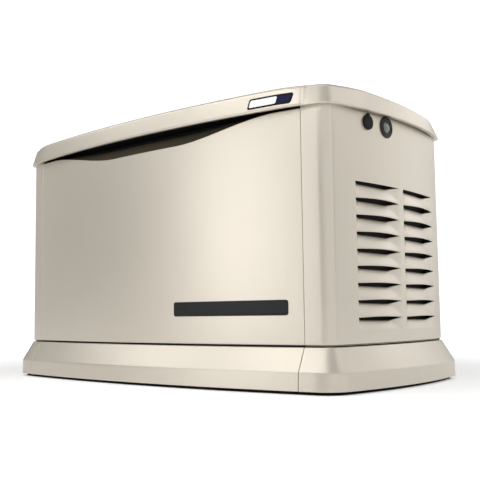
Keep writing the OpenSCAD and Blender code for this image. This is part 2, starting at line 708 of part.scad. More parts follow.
/* ---- fuel and cable entries ---- */
fuel_x = 460;
conduit_x = 370;
fuel_z = 560;
fuel_body_r = 20;
conduit_body_r = 19;
regulator_at = [-510, 170, 480];
module fuel_inlet() color("#b5a26a") at_rear(-fuel_x, fuel_z) difference() {
    rod_x(fuel_body_r, -30, 24);
    rod_x(fuel_r, -40, 30);
}
module conduit_entry() color(ALLOY) at_rear(-conduit_x, fuel_z) difference() {
    union() {
        rod_x(conduit_body_r, -12, 16);
        rod_x(conduit_body_r + 6, 0.1, 4);
        rod_x(conduit_body_r + 6, -7, -sheet - 0.2);
    }
    rod_x(conduit_r, -20, 20);
}
module fuel_regulator() color(ALLOY) translate(regulator_at) {
    cube([110, 70, 60]);
    translate([55, 35, 60]) cylinder(r = 32, h = 22);
}
module fuel_hose() color(RUBBER) lead([[-399.8, 205, 505], [-380, 205, 505], [-360, 205, 505],
    [-260, 198, 502], [-130, 150, 482], [-85, 62, 428], [-64, 20, 394], [-36, shaft_y, 370],
    [-20, shaft_y, 370], [bank_x - 45.2, shaft_y, 370]], 10);

loom_r = 7;
module cable_loom() color(RUBBER) {
    lead([[-405, -196, 249], [-374, -190, 258], [-360, -150, 220], [-361, 0, 140], [-352, 130, 100],
        [-250, 165, 92], [-140, 170, 96], [-90, 172, 150], [-76, 168, 205], [-65, 168, 216],
        [-52, 168, 216], [-40.2, 168, 216]], loom_r);
    lead([[-405, -48, 249], [-393, -10, 262], [-388, 80, 240], [-390, 160, 170], [-380, 188, 84],
        [-330, 194, 56], [-100, 194, 54], [100, 190, 60]], loom_r);
    lead([[-435, -51.8, 470], [-435, -35, 470], [-435, -10, 468], [-410, 90, 440], [-300, 165, 420],
        [-150, 155, 412], [-60, 115, 400], [-40, 78, 370], [-40, 70, 345], [-40, 70, 321]], 9);
}

mounting_pad();
base_tray();
skirt_front();
skirt_rear();
skirt_left();
skirt_right();
end_panel_left();
end_panel_right();
rear_panel();
front_rail();
exhaust_divider();
rim_seal();
hinge_leaves_fixed();
hinge_pins();
status_bezel();
status_lens();
enclosure_screws();
control_box();
control_bezel();
display_window();
breaker_body();
battery();
battery_strap();
cable_loom();
engine_cradle();
rubber_mounts();
crankcase();
cylinder_banks();
rocker_covers();
blower_housing();
stator_can();
bearing_carrier();
starter_motor();
oil_filter();
intake_mixer();
airbox();
exhaust_pipes();
muffler();
fuel_regulator();
fuel_hose();
fuel_inlet();
conduit_entry();
lid();
lid_liner();
lid_badge();
lid_hinge_leaves();
lid_catches();
front_door();
rotor_shaft();
flywheel_fan();
lock_barrel_right();
lock_barrel_left();
lock_cover_right();
lock_cover_left();
breaker_toggle();
button_auto();
button_off();
button_manual();
dipstick();
airbox_cover();
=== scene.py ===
# %% [markdown]
# # A home standby generator
# The machine is a bowed sheet-metal enclosure on a wrapped base, with a hinged roof, a lift-off
# door and an engine, alternator, battery and controls inside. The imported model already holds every
# part at its real size, so this script only gives the parts their finished shapes and surfaces.

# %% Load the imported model
import math

import bmesh
import bpy
from mathutils import Matrix, Vector


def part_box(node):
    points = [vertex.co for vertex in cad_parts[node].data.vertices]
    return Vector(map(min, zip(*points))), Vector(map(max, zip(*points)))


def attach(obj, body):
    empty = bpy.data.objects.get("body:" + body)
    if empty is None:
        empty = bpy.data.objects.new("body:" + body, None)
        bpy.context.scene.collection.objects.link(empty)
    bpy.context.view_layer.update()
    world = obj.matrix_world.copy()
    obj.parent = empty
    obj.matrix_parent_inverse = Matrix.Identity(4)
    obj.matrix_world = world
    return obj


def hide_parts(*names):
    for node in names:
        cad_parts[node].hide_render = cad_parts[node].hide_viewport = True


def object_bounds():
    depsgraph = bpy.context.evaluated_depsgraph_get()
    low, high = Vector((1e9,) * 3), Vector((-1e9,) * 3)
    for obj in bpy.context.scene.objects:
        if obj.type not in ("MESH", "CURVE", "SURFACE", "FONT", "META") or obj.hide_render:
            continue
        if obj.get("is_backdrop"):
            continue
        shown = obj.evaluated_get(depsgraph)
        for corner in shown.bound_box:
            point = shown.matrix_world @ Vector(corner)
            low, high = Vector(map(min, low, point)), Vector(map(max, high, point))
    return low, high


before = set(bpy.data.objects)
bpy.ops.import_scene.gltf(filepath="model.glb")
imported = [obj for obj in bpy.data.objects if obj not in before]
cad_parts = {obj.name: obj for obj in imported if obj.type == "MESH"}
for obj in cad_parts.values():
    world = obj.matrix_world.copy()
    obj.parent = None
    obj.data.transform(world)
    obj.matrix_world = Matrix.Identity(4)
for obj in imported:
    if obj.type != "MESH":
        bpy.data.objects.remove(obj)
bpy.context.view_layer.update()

MM = 0.001

# %% [markdown]
# ## Camera
# The machine is seen from low down, off its right front corner, so the roof's edge runs across the
# sky and the base shows all its slope. A long lens keeps the upright lines nearly parallel.

# %% Camera
CAMERA_AT = Vector((1.54722, -1.72352, 0.18143))
YAW, PITCH, ROLL = math.radians(40.346), math.radians(5.330), math.radians(-0.7408)
LENS = 59.155

ahead = Vector((-math.sin(YAW) * math.cos(PITCH), math.cos(YAW) * math.cos(PITCH), math.sin(PITCH)))
level = Vector((math.cos(YAW), math.sin(YAW), 0))
above = level.cross(ahead)
right = level * math.cos(ROLL) + above * math.sin(ROLL)
upward = above * math.cos(ROLL) - level * math.sin(ROLL)


def in_scene(name, data):
    made = bpy.data.objects.new(name, data)
    bpy.context.scene.collection.objects.link(made)
    return made


camera = in_scene("camera", bpy.data.cameras.new("camera"))
camera.data.lens = LENS
camera.data.sensor_width = 36
turn = Matrix((right, upward, -ahead)).transposed().to_4x4()
camera.matrix_world = Matrix.Translation(CAMERA_AT) @ turn
bpy.context.scene.camera = camera
print("camera looks along", [round(c, 3) for c in ahead])

# %% [markdown]
# ## The plan outline
# Seen from above, every outer shell follows one outline: a bowed front, two bowed ends and a nearly
# flat rear, joined by round corners. It could be drawn as points, but eight arcs say it exactly. A
# place on it is a distance along from the middle of the front, and a distance outside it.

# %% The plan outline as arcs
FRONT_BOW, SIDE_BOW, REAR_BOW = 46 * MM, 31 * MM, 8 * MM
FRONT_CORNER, REAR_CORNER = 35 * MM, 30 * MM
ROOF_OUT, SKIRT_OUT = 19 * MM, 35 * MM

roof_low, roof_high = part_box("lid")
END_X = roof_high.x - ROOF_OUT
FRONT_Y, REAR_Y = roof_low.y + ROOF_OUT, roof_high.y - ROOF_OUT
MIDDLE_Y = FRONT_Y + FRONT_BOW + (REAR_Y - REAR_BOW - FRONT_Y - FRONT_BOW) / 2


def bow_radius(span, bow):
    return (span * span / 4 + bow * bow) / (2 * bow)


def circles_meet(c1, r1, c2, r2):
    """The right-hand point where two circles cross"""
    between = c2 - c1
    along = (r1 * r1 - r2 * r2 + between.length_squared) / (2 * between.length)
    aside = math.sqrt(r1 * r1 - along * along)
    unit = between.normalized()
    points = [c1 + unit * along + Vector((-unit.y, unit.x)) * aside * s for s in (1, -1)]
    return max(points, key=lambda p: p.x)


span_x = 2 * (END_X - SIDE_BOW)
span_y = REAR_Y - REAR_BOW - FRONT_Y - FRONT_BOW
FRONT_R, SIDE_R = bow_radius(span_x, FRONT_BOW), bow_radius(span_y, SIDE_BOW)
REAR_R = bow_radius(span_x, REAR_BOW)
front_c = Vector((0, FRONT_Y + FRONT_R))
side_c = Vector((END_X - SIDE_R, MIDDLE_Y))
rear_c = Vector((0, REAR_Y - REAR_R))
corner_f = circles_meet(front_c, FRONT_R - FRONT_CORNER, side_c, SIDE_R - FRONT_CORNER)
corner_r = circles_meet(rear_c, REAR_R - REAR_CORNER, side_c, SIDE_R - REAR_CORNER)


def heading(a, b):
    return math.atan2(b.y - a.y, b.x - a.x)


turns = [-math.pi / 2, heading(front_c, corner_f), heading(side_c, corner_f),
         heading(side_c, corner_r), heading(rear_c, corner_r), math.pi / 2]
circles = [(front_c, FRONT_R), (corner_f, FRONT_CORNER), (side_c, SIDE_R),
           (corner_r, REAR_CORNER), (rear_c, REAR_R)]
ARCS = [(c, r, a, b) for (c, r), a, b in zip(circles, turns, turns[1:])]
LENGTHS = [r * (b - a) for _, r, a, b in ARCS]
STOPS = [sum(LENGTHS[:n]) for n in range(len(LENGTHS) + 1)]
HALF = STOPS[-1]
print("arcs:", [round(length / MM) for length in LENGTHS], "mm long")

# %% Places along the outline
def outline(s, out=0.0):
    """The point s metres along the outline from the middle of the front, and out metres outside it"""
    s = (s + HALF) % (2 * HALF) - HALF
    left, side = abs(s), math.copysign(1, s)
    for (centre, radius, start, _), length in zip(ARCS, LENGTHS):
        if left <= length or length == LENGTHS[-1]:
            break
        left -= length
    angle = start + left / radius
    reach = radius + out
    return Vector((side * (centre.x + reach * math.cos(angle)), centre.y + reach * math.sin(angle)))


def standing(s, out, z):
    """The point at height z over a point of the outline"""
    point = outline(s, out)
    return Vector((point.x, point.y, z))


def along_front(x):
    return FRONT_R * math.asin(x / FRONT_R)


def along_end(y):
    return STOPS[2] + SIDE_R * (math.asin((y - MIDDLE_Y) / SIDE_R) - turns[2])


def along_rear(x):
    return HALF - REAR_R * math.asin(x / REAR_R)


print("outline:", round(2 * HALF / MM), "mm round")

# %% [markdown]
# ## Surfaces
# Powder coat is a satin skin with a very fine orange peel, and its colour drifts a little from one
# place to the next. Each finish below is a Principled shader whose colour and bump come from noise
# on Object coordinates, so that the grain keeps its real size on every part.

# %% Helpers for materials
def new_finish(name, roughness, metallic=0.0, specular=0.5, coat=0.0):
    mat = bpy.data.materials.new(name)
    mat.use_nodes = True
    shader = mat.node_tree.nodes["Principled BSDF"]
    shader.inputs["Roughness"].default_value = roughness
    shader.inputs["Metallic"].default_value = metallic
    shader.inputs["Specular IOR Level"].default_value = specular
    shader.inputs["Coat Weight"].default_value = coat
    return mat, shader


def node(mat, kind, **settings):
    made = mat.node_tree.nodes.new(kind)
    for key, value in settings.items():
        setattr(made, key, value)
    return made


def noise(mat, scale, detail=3.0, stretch=(1, 1, 1)):
    """Noise at scale waves a metre, on Object coordinates"""
    where = node(mat, "ShaderNodeTexCoord")
    placing = node(mat, "ShaderNodeMapping")
    placing.inputs["Scale"].default_value = stretch
    pattern = node(mat, "ShaderNodeTexNoise")
    pattern.inputs["Scale"].default_value = scale
    pattern.inputs["Detail"].default_value = detail
    join = mat.node_tree.links.new
    join(where.outputs["Object"], placing.inputs["Vector"])
    join(placing.outputs["Vector"], pattern.inputs["Vector"])
    return pattern


def ramp(mat, source, stops, target):
    """Sends a pattern through a colour ramp of (place, grey or colour) stops to a socket"""
    made = node(mat, "ShaderNodeValToRGB")
    bar = made.color_ramp
    while len(bar.elements) < len(stops):
        bar.elements.new(0.5)
    for element, (place, value) in zip(bar.elements, stops):
        element.position = place
        element.color = (*value, 1) if hasattr(value, "__len__") else (value, value, value, 1)
    mat.node_tree.links.new(source, made.inputs["Fac"])
    mat.node_tree.links.new(made.outputs["Color"], target)


def bump(mat, shader, source, depth, strength=1.0):
    made = node(mat, "ShaderNodeBump")
    made.inputs["Distance"].default_value = depth
    made.inputs["Strength"].default_value = strength
    mat.node_tree.links.new(source, made.inputs["Height"])
    mat.node_tree.links.new(made.outputs["Normal"], shader.inputs["Normal"])


def shaded(colour, share):
    return tuple(min(1, c * share) for c in colour)


DRIFT_WAVES, GLOSS_SPREAD = 6, 0.06


def coated(name, colour, roughness, drift=0.05, grain=700, depth=0.05, metallic=0.0, specular=0.5):
    """Finish with a slow colour drift, uneven gloss and a fine grain, depth millimetres deep"""
    mat, shader = new_finish(name, roughness, metallic, specular)
    slow = noise(mat, DRIFT_WAVES, 4)
    ramp(mat, slow.outputs["Fac"], [(0.3, shaded(colour, 1 - drift)), (0.7, shaded(colour, 1 + drift))],
         shader.inputs["Base Color"])
    fine = noise(mat, grain, 2)
    ramp(mat, fine.outputs["Fac"], [(0.3, roughness - GLOSS_SPREAD), (0.7, roughness + GLOSS_SPREAD)],
         shader.inputs["Roughness"])
    bump(mat, shader, fine.outputs["Fac"], depth * MM)
    return mat


print("colour drifts", DRIFT_WAVES, "times a metre")

# %% First finishes
BEIGE = (0.60, 0.552, 0.472)
PAINT = coated("satin_beige_powder_coat", BEIGE, 0.37, drift=0.012, metallic=0.58, specular=0.55)
BLACK_PAINT = coated("satin_black_powder_coat", (0.010, 0.010, 0.011), 0.42, drift=0.1, specular=0.25)
PAD = coated("moulded_composite", (0.006, 0.006, 0.007), 0.8, drift=0.2, grain=260, depth=0.3, specular=0.1)
RUBBER = coated("matt_rubber", (0.008, 0.008, 0.009), 0.7, drift=0.15, grain=420, depth=0.1, specular=0.2)
print("first finishes:", [m.name for m in bpy.data.materials])

# %% [markdown]
# ## Pressing a sheet
# The outer shells are sheets of 2 mm steel, folded and bent in a press. A flat grid is the blank,
# and every grid line is put in its place on the outline at its height. A fold is a few close lines
# on a quarter circle, then a return that goes inwards. Solidify then gives the sheet its thickness.

# %% Helpers for pressed sheets
SHEET = 2 * MM


def spread(start, end, count):
    return [start + (end - start) * i / count for i in range(count + 1)]


def folded(lines, radius, depth, ends=(True, True)):
    """Pairs (place, how far inside): the lines, with a round fold and a return at the wanted ends"""
    quarter = [(radius * (1 - math.cos(a)), -radius * (1 - math.sin(a)))
               for a in (0, math.pi / 6, math.pi / 3)]
    head = [(lines[0], -depth)] + [(lines[0] + step, inside) for step, inside in quarter]
    tail = [(lines[-1] - step, inside) for step, inside in reversed(quarter)] + [(lines[-1], -depth)]
    first = head + [(lines[0] + radius, 0.0)] if ends[0] else [(lines[0], 0.0)]
    last = [(lines[-1] - radius, 0.0)] + tail if ends[1] else [(lines[-1], 0.0)]
    return first + [(place, 0.0) for place in lines[1:-1]] + last


def finish_piece(name, bm, finishes, body, crease=35, flat=False):
    """Turns a bmesh into a piece of the scene that rides on a body"""
    bmesh.ops.remove_doubles(bm, verts=bm.verts, dist=0.01 * MM)
    mesh = bpy.data.meshes.new(name)
    for face in bm.faces:
        face.smooth = not flat
    bm.to_mesh(mesh)
    bm.free()
    mesh.set_sharp_from_angle(angle=math.radians(crease))
    piece = in_scene(name, mesh)
    for finish in finishes:
        mesh.materials.append(finish)
    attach(piece, body)
    return piece


def even_light(piece):
    """Keeps wide faces evenly lit next to their narrow rounded edges"""
    piece.modifiers.new("even_light", "WEIGHTED_NORMAL").keep_sharp = True
    return piece


def sheet_piece(name, bm, finishes, body="enclosure", thickness=SHEET, crease=50):
    """A piece whose wall grows inwards from the bmesh's surface"""
    piece = finish_piece(name, bm, finishes, body, crease)
    solid = piece.modifiers.new("sheet", "SOLIDIFY")
    solid.thickness = thickness
    solid.offset = -1
    return even_light(piece)


def stands_for(piece, node_name, slot_name):
    """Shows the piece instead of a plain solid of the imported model"""
    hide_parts(node_name)
    return piece


def pressed(columns, rows, place, holes=None):
    """A bmesh grid with one line per column and row, each crossing put where place() says"""
    bm = bmesh.new()
    wide, high = len(columns) - 1, len(rows) - 1
    bmesh.ops.create_grid(bm, x_segments=wide, y_segments=high, size=0.5)
    where = {v: (round((v.co.x + 0.5) * wide), round((v.co.y + 0.5) * high)) for v in bm.verts}
    if holes:
        cut = []
        for face in bm.faces:
            corners = [where[v] for v in face.verts]
            if holes(min(c[0] for c in corners), min(c[1] for c in corners)):
                cut.append(face)
        bmesh.ops.delete(bm, geom=cut, context="FACES")
    for vert in bm.verts:
        i, j = where[vert]
        vert.co = place(columns[i], rows[j])
    return bm


print("helpers for sheets of", SHEET / MM, "mm")

# %% [markdown]
# ## Base wrap
# Four painted sheets wrap the pad: an upright band, a rounded break and a slope up to the panels.
# Each is one profile carried along the outline, with a small return at the seams so that the joint
# shows as a fine line. The rounded breaks are what catch the light.

# %% Rounded profiles
def rounded(points, radii, steps=4):
    """A profile through points [out, height], with each inner corner rounded to its radius"""
    path = [Vector(points[0])]
    for before, corner, after, radius in zip(points, points[1:], points[2:], radii):
        corner = Vector(corner)
        to_before, to_after = Vector(before) - corner, Vector(after) - corner
        half = to_before.angle(to_after) / 2
        cut = min(radius / math.tan(half), to_before.length * 0.45, to_after.length * 0.45)
        start, end = corner + to_before.normalized() * cut, corner + to_after.normalized() * cut
        for i in range(steps + 1):
            t = i / steps
            path.append(start * (1 - t) ** 2 + corner * 2 * t * (1 - t) + end * t * t)
    path.append(Vector(points[-1]))
    return [(p.x, p.y) for p in path]


# %% Base wrap
WRAP_FOOT, WRAP_BREAK, WRAP_TOP = 8 * MM, 49 * MM, 103.5 * MM
wrap_profile = rounded(
    [(SKIRT_OUT - 10 * MM, WRAP_FOOT), (SKIRT_OUT, WRAP_FOOT), (SKIRT_OUT - 1.5 * MM, WRAP_BREAK),
     (2 * MM, WRAP_TOP), (-6 * MM, WRAP_TOP)], [1.5 * MM, 9 * MM, 3.5 * MM], 5)
SEAM_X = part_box("front_door")[1].x
SEAM = along_front(SEAM_X)
REAR_SEAM = along_rear(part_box("rear_panel")[1].x)


def wrap_piece(name, start, end, count, node_name):
    lines = folded(spread(start + 0.5 * MM, end - 0.5 * MM, count), 1 * MM, 5 * MM)

    def place(column, row):
        return standing(column[0], row[0] + column[1], row[1])

    stands_for(sheet_piece(name, pressed(lines, wrap_profile, place), [PAINT]), node_name, "enclosure_paint")


wrap_piece("base_wrap_front", -SEAM, SEAM, 40, "skirt_front")
wrap_piece("base_wrap_right", SEAM, REAR_SEAM, 90, "skirt_right")
wrap_piece("base_wrap_left", -REAR_SEAM, -SEAM, 90, "skirt_left")
wrap_piece("base_wrap_rear", REAR_SEAM, 2 * HALF - REAR_SEAM, 16, "skirt_rear")
print("base wrap seam", round(SEAM / MM), "mm along the front")

# %% [markdown]
# ## Louvred end panels
# Each end is one sheet from the door's seam round to the rear seam. Its louvres are lanced: the
# press slits the sheet along a line, pushes the metal below the slit inwards and rolls the metal
# above the next slit outwards. The rear end of every louvre is a slanted flat. Two grid lines lie on
# each slit, and the faces between them are taken out.

# %% Shape of one louvre
BLADE_LINES = (0, 0.12, 0.28, 0.46, 0.64, 0.82, 1)
BANK_LINES = (0, 0.02, 0.05, 0.09, 0.15, 0.22, 0.3, 0.38, 0.46, 0.54, 0.62, 0.7, 0.78, 0.85, 0.91, 0.96, 1)
CREASE_LINE = 0.7
BLADE_IN, BLADE_OUT, SLOT, ARCH = 9 * MM, 5.5 * MM, 8.2 * MM, 2.6 * MM


def blade_crease(down):
    """Where, across the louvre, its slanted flat starts"""
    return CREASE_LINE + (0.97 - CREASE_LINE) * down


def louvre(across, down):
    """(place across, out, drop) for a point of a louvre, across and down its cell from 0 to 1"""
    crease = blade_crease(down)
    if across <= CREASE_LINE:
        u = across / CREASE_LINE * crease
    else:
        u = crease + (across - CREASE_LINE) / (1 - CREASE_LINE) * (1 - crease)
    recess = min(1, u / 0.06) if u <= crease else (1 - u) / (1 - crease)
    bulge = math.sin(math.pi * u) ** 0.7
    out = BLADE_OUT * bulge * down ** 1.5 - BLADE_IN * recess * (1 - down) ** 1.1
    lens = min(1, u / 0.08) * (0.72 + 0.28 * u / CREASE_LINE) if u <= crease else recess
    drop = SLOT * lens * (1 - down) ** 2 - ARCH * math.sin(math.pi * u) * down ** 2
    return u, out, drop


print("louvre, middle of its upper edge:", [round(v / MM, 1) for v in louvre(0.5, 0)[1:]], "mm out, down")

# %% Louvred sheet
LOUVRE_PITCH = 39.8 * MM


def louvred_sheet(name, lines, banks, top, count, heights):
    """A sheet with louvre banks: lines are (along, inside), banks are (start, end) along"""
    columns = [(s, inside, None, 0) for s, inside in lines
               if not any(a - 1 * MM < s < b + 1 * MM for a, b in banks)]
    columns += [(a + (b - a) * u, 0.0, (a, b), u) for a, b in banks for u in BANK_LINES]
    columns.sort(key=lambda c: c[0])
    foot = top - count * LOUVRE_PITCH
    rows = [(z, inside, None, 0) for z, inside in heights if not foot - 2 * MM < z < top + 2 * MM]
    rows += [(top, 0.0, None, 1)]
    rows += [(top - k * LOUVRE_PITCH - v * LOUVRE_PITCH, 0.0, k, v)
             for k in range(count) for v in BLADE_LINES]
    order = sorted(range(len(rows)), key=lambda n: (-round(rows[n][0], 6), n))
    rows = [rows[n] for n in order][::-1]

    def slot(i, j):
        column, beside, row, over = columns[i], columns[i + 1], rows[j], rows[j + 1]
        inside_bank = column[2] is not None and column[2] == beside[2]
        return inside_bank and row[2] is not None and row[3] == 0 and over[3] == 1

    def place(column, row):
        s, inside, bank, across = column
        z, inside_row, blade, down = row
        out = min(inside, inside_row)
        if bank and blade is not None:
            u, press_out, drop = louvre(across, down)
            lip_of_last = blade == count - 1
            fade = 1 - down ** 3 if lip_of_last else 1
            s, out, z = bank[0] + (bank[1] - bank[0]) * u, press_out * fade, z - drop * fade
        return standing(s, out, z)

    return sheet_piece(name, pressed(columns, rows, place, slot), [PAINT])


def merged(*groups):
    """Neighbouring stretches of lines as one list, each place once"""
    out = []
    for group in groups:
        out += [p for p in group if not out or p > out[-1] + 0.01 * MM]
    return out


# %% The two end panels
PANEL_FOOT, PANEL_TOP = 108 * MM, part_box("end_panel_right")[1].z
panel_rows = folded(merged(spread(PANEL_FOOT, 128 * MM, 2), spread(490 * MM, PANEL_TOP, 6)),
                    2.5 * MM, 12 * MM, (True, False))
LOUVRE_TOP, LOUVRE_ROWS = 487 * MM, 9
END_BANKS = [(-163 * MM, 17 * MM), (38 * MM, 227 * MM)]
SEAM_GAP = 0.6 * MM
panel_stretches = merged(
    spread(SEAM + SEAM_GAP, STOPS[1], 4), spread(STOPS[1], STOPS[2], 10), spread(STOPS[2], STOPS[3], 14),
    spread(STOPS[3], STOPS[4], 8), spread(STOPS[4], REAR_SEAM - SEAM_GAP, 3))


def end_panel(name, side, node_name):
    banks = [(along_end(a), along_end(b)) for a, b in END_BANKS]
    lines = folded(panel_stretches, 0.9 * MM, 16 * MM)
    piece = louvred_sheet(name, lines, banks, LOUVRE_TOP, LOUVRE_ROWS, panel_rows)
    if side < 0:
        bm = bmesh.new()
        bm.from_mesh(piece.data)
        bmesh.ops.scale(bm, verts=bm.verts, vec=(-1, 1, 1))
        bmesh.ops.reverse_faces(bm, faces=bm.faces)
        bm.to_mesh(piece.data)
        bm.free()
    stands_for(piece, node_name, "enclosure_paint")


end_panel("end_panel_sheet_right", 1, "end_panel_right")
end_panel("end_panel_sheet_left", -1, "end_panel_left")
print("end louvres:", LOUVRE_ROWS * len(END_BANKS), "on each end")

# %% [markdown]
# ## Rear panel
# The rear is the same kind of sheet with two banks of louvres. The gas and cable entries on it are among the
# inner parts softened further down.

# %% Rear panel
REAR_TOP, REAR_ROWS, REAR_AT, REAR_WIDE = 444 * MM, 7, 250 * MM, 260 * MM
rear_rows = folded(merged(spread(PANEL_FOOT, 128 * MM, 2), spread(450 * MM, PANEL_TOP, 5)),
                   2.5 * MM, 12 * MM, (True, False))
rear_lines = folded(spread(REAR_SEAM + SEAM_GAP, 2 * HALF - REAR_SEAM - SEAM_GAP, 14), 2 * MM, 16 * MM)
rear_banks = [(HALF + x - REAR_WIDE / 2, HALF + x + REAR_WIDE / 2) for x in (-REAR_AT, REAR_AT)]
rear = louvred_sheet("rear_panel_sheet", rear_lines, rear_banks, REAR_TOP, REAR_ROWS, rear_rows)
stands_for(rear, "rear_panel", "enclosure_paint")
print("rear panel", round((2 * HALF - 2 * REAR_SEAM) / MM), "mm wide")

# %% [markdown]
# ## Front door
# The door is one bowed sheet. Its upper edge dips in a long shallow curve, and folds in and up there
# to make a finger grip under the roof. The fold is coloured a dark olive brown, which is painted shade
# for the deep shadow under the roof's overhang. The dip is a lowering of the grid's upper lines, most
# in the middle and nothing at the ends.

# %% Front door
DOOR_FOOT, DOOR_TOP, DOOR_DIP = 108 * MM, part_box("front_door")[1].z + 1 * MM, 40 * MM
DIP_FLAT, DIP_END, DIP_POWER = 120 * MM, 440 * MM, 6
GRIP_DEPTH, GRIP_RISE = 10 * MM, 0.62
LIP_OUT = 2 * MM


def clamped(t):
    return min(1, max(0, t))


def eased(t):
    """0 to 1 with soft ends"""
    t = clamped(t)
    return t * t * (3 - 2 * t)


def dip(x):
    """How far the door's upper edge lies below its ends at x"""
    return DOOR_DIP * eased((DIP_END - abs(x)) / (DIP_END - DIP_FLAT))


door_columns = folded(spread(-SEAM, SEAM, 60), 0.9 * MM, 16 * MM)
door_rows = folded(spread(DOOR_FOOT, DOOR_TOP, 8), 2.5 * MM, 12 * MM, (True, False))
door_rows = [(z, inside, 0.0) for z, inside in door_rows[:-1]]
door_rows += [(DOOR_TOP - 2.5 * MM, 0.0, 0.0), (DOOR_TOP - 0.8 * MM, -0.5 * MM, 0.0)]
door_rows += [(DOOR_TOP, -LIP_OUT - GRIP_DEPTH * t, t) for t in (0, 0.3, 0.65, 1)]


def place_door(column, row):
    s, inside = column
    z, inside_row, grip = row
    x = FRONT_R * math.sin(s / FRONT_R)
    share = max(0, (z - DOOR_FOOT) / (DOOR_TOP - DOOR_FOOT)) ** DIP_POWER
    return standing(s, min(inside, inside_row), z - dip(x) * (share - GRIP_RISE * grip))


# Painted shade: the grip's fold gets a dark olive brown that stands for the deep shadow under the roof's
# overhang.
GRIP_PAINTED_SHADE = coated("grip_painted_shade", (0.038, 0.033, 0.019), 0.6, drift=0.1, specular=0.12)
door_bm = pressed(door_columns, door_rows, place_door)
# The grip's faces in the dip, behind the lip, take the painted shade.
for face in door_bm.faces:
    middle = face.calc_center_median()
    behind_lip = (middle.xy - front_c).length < FRONT_R - LIP_OUT - 1 * MM
    if middle.z > DOOR_TOP - DOOR_DIP - 10 * MM and abs(middle.x) < DIP_END and behind_lip:
        face.material_index = 1
door = sheet_piece("front_door_sheet", door_bm, [PAINT, GRIP_PAINTED_SHADE], "door")
stands_for(door, "front_door", "enclosure_paint")
print("door", round(2000 * SEAM_X), "mm wide, dips", DOOR_DIP / MM, "mm")

# %% [markdown]
# ## Roof
# The roof is a shallow pan: a rolled lip, a nearly upright band that leans in, a round upper edge and
# a low crown. Its front middle stands a few millimetres proud between two creases, and it all falls
# towards the rear. The band is a profile carried right round, and the crown is the same outline drawn
# in ring by ring until it closes.

# %% Roof
ROOF_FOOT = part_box("lid")[0].z
ROOF_EDGE, ROOF_CROWN, CROWN_POWER = 705 * MM, 26 * MM, 2.4
ROOF_FALL, FALL_FROM, FALL_OVER = 15 * MM, -200 * MM, 500 * MM
PROUD, PROUD_HALF, PROUD_SOFT = 4 * MM, 505 * MM, 7 * MM
CROWN_IN, CROWN_FOOT, BAND_FOOT = 22 * MM, ROOF_EDGE + 3 * MM, ROOF_FOOT + 5 * MM
roof_profile = rounded(
    [(ROOF_OUT - 12 * MM, ROOF_FOOT + 1 * MM), (ROOF_OUT, ROOF_FOOT),
     (ROOF_OUT - 0.2 * MM, ROOF_FOOT + 3.2 * MM), (ROOF_OUT - 0.8 * MM, ROOF_FOOT + 4.2 * MM),
     (ROOF_OUT - 5 * MM, ROOF_EDGE), (ROOF_OUT - CROWN_IN, CROWN_FOOT)],
    [1.8 * MM, 0.8 * MM, 1.5 * MM, 9 * MM], 5)
rings = (0.97, 0.92, 0.84, 0.72, 0.56, 0.38, 0.18, 0.0)
roof_rows = [("band", out, z) for out, z in roof_profile] + [("crown", ring, 0) for ring in rings]
crease_lines = spread(along_front(PROUD_HALF) - 14 * MM, along_front(PROUD_HALF) + 22 * MM, 18)
half_roof = merged(spread(0, crease_lines[0], 30)[:-1], crease_lines, spread(crease_lines[-1], STOPS[1], 2),
                   spread(STOPS[1], STOPS[2], 12), spread(STOPS[2], STOPS[3], 26),
                   spread(STOPS[3], STOPS[4], 10), spread(STOPS[4], HALF, 14))
roof_lines = [-s for s in reversed(half_roof)] + half_roof[1:]
PAN_REACH = Vector((END_X, (REAR_Y - FRONT_Y) / 2))
CORNER_MIDDLES = (STOPS[1] + LENGTHS[1] / 2, STOPS[3] + LENGTHS[3] / 2)
CORNER_REACH, CORNER_PULL, CORNER_LEAN = 120 * MM, 8 * MM, 9 * MM
print("roof lines:", len(roof_lines), "round,", len(roof_rows), "up")

# %% Shape of the roof
def fall(y):
    """How far the roof has fallen at y on its way to the rear"""
    return ROOF_FALL * clamped((y - FALL_FROM) / FALL_OVER)


def band_share(z):
    """0 at the band's foot, 1 at the roof's edge"""
    return (z - BAND_FOOT) / (ROOF_EDGE - BAND_FOOT)


def drawn_in(s, share):
    """How far the roof's corners are drawn in at s, more towards the band's top (share 1)"""
    away = min(abs(abs(s) - middle) for middle in CORNER_MIDDLES)
    return (CORNER_PULL + CORNER_LEAN * share) * eased(1 - away / CORNER_REACH)


def proud(x, y, z):
    """1 on the front middle of the roof, 0 beyond its creases, and soft between"""
    edge = PROUD_HALF + 0.15 * (z - ROOF_FOOT)
    return eased((edge - abs(x)) / PROUD_SOFT + 0.5) * clamped((120 * MM - y) / (300 * MM))


def place_roof(s, row):
    kind, a, b = row
    if kind == "band":
        share = clamped(band_share(b))
        point = outline(s, a - drawn_in(s, share))
        x, y, z = point.x, point.y, b - share * fall(point.y)
        lift = proud(x, y, b)
        if y < MIDDLE_Y - 0.2:
            y -= PROUD * lift * (0.6 if b < ROOF_FOOT + 4 * MM else 1)
        return Vector((x, y, z))
    start = outline(s, ROOF_OUT - CROWN_IN - drawn_in(s, 1))
    angle = math.atan2((start.y - MIDDLE_Y) / PAN_REACH.y, start.x / PAN_REACH.x)
    oval = Vector((PAN_REACH.x * math.cos(angle), MIDDLE_Y + PAN_REACH.y * math.sin(angle)))
    x = a * (start.x * a + oval.x * (1 - a))
    y = MIDDLE_Y + a * ((start.y - MIDDLE_Y) * a + (oval.y - MIDDLE_Y) * (1 - a))
    z = CROWN_FOOT + ROOF_CROWN * (1 - a ** CROWN_POWER) - fall(y)
    return Vector((x, y, z))


roof_bm = pressed(roof_lines, roof_rows, place_roof)
roof = sheet_piece("roof_pan", roof_bm, [PAINT], "lid", 2.5 * MM, 40)
stands_for(roof, "lid", "enclosure_paint")
print("roof faces", len(roof.data.polygons))

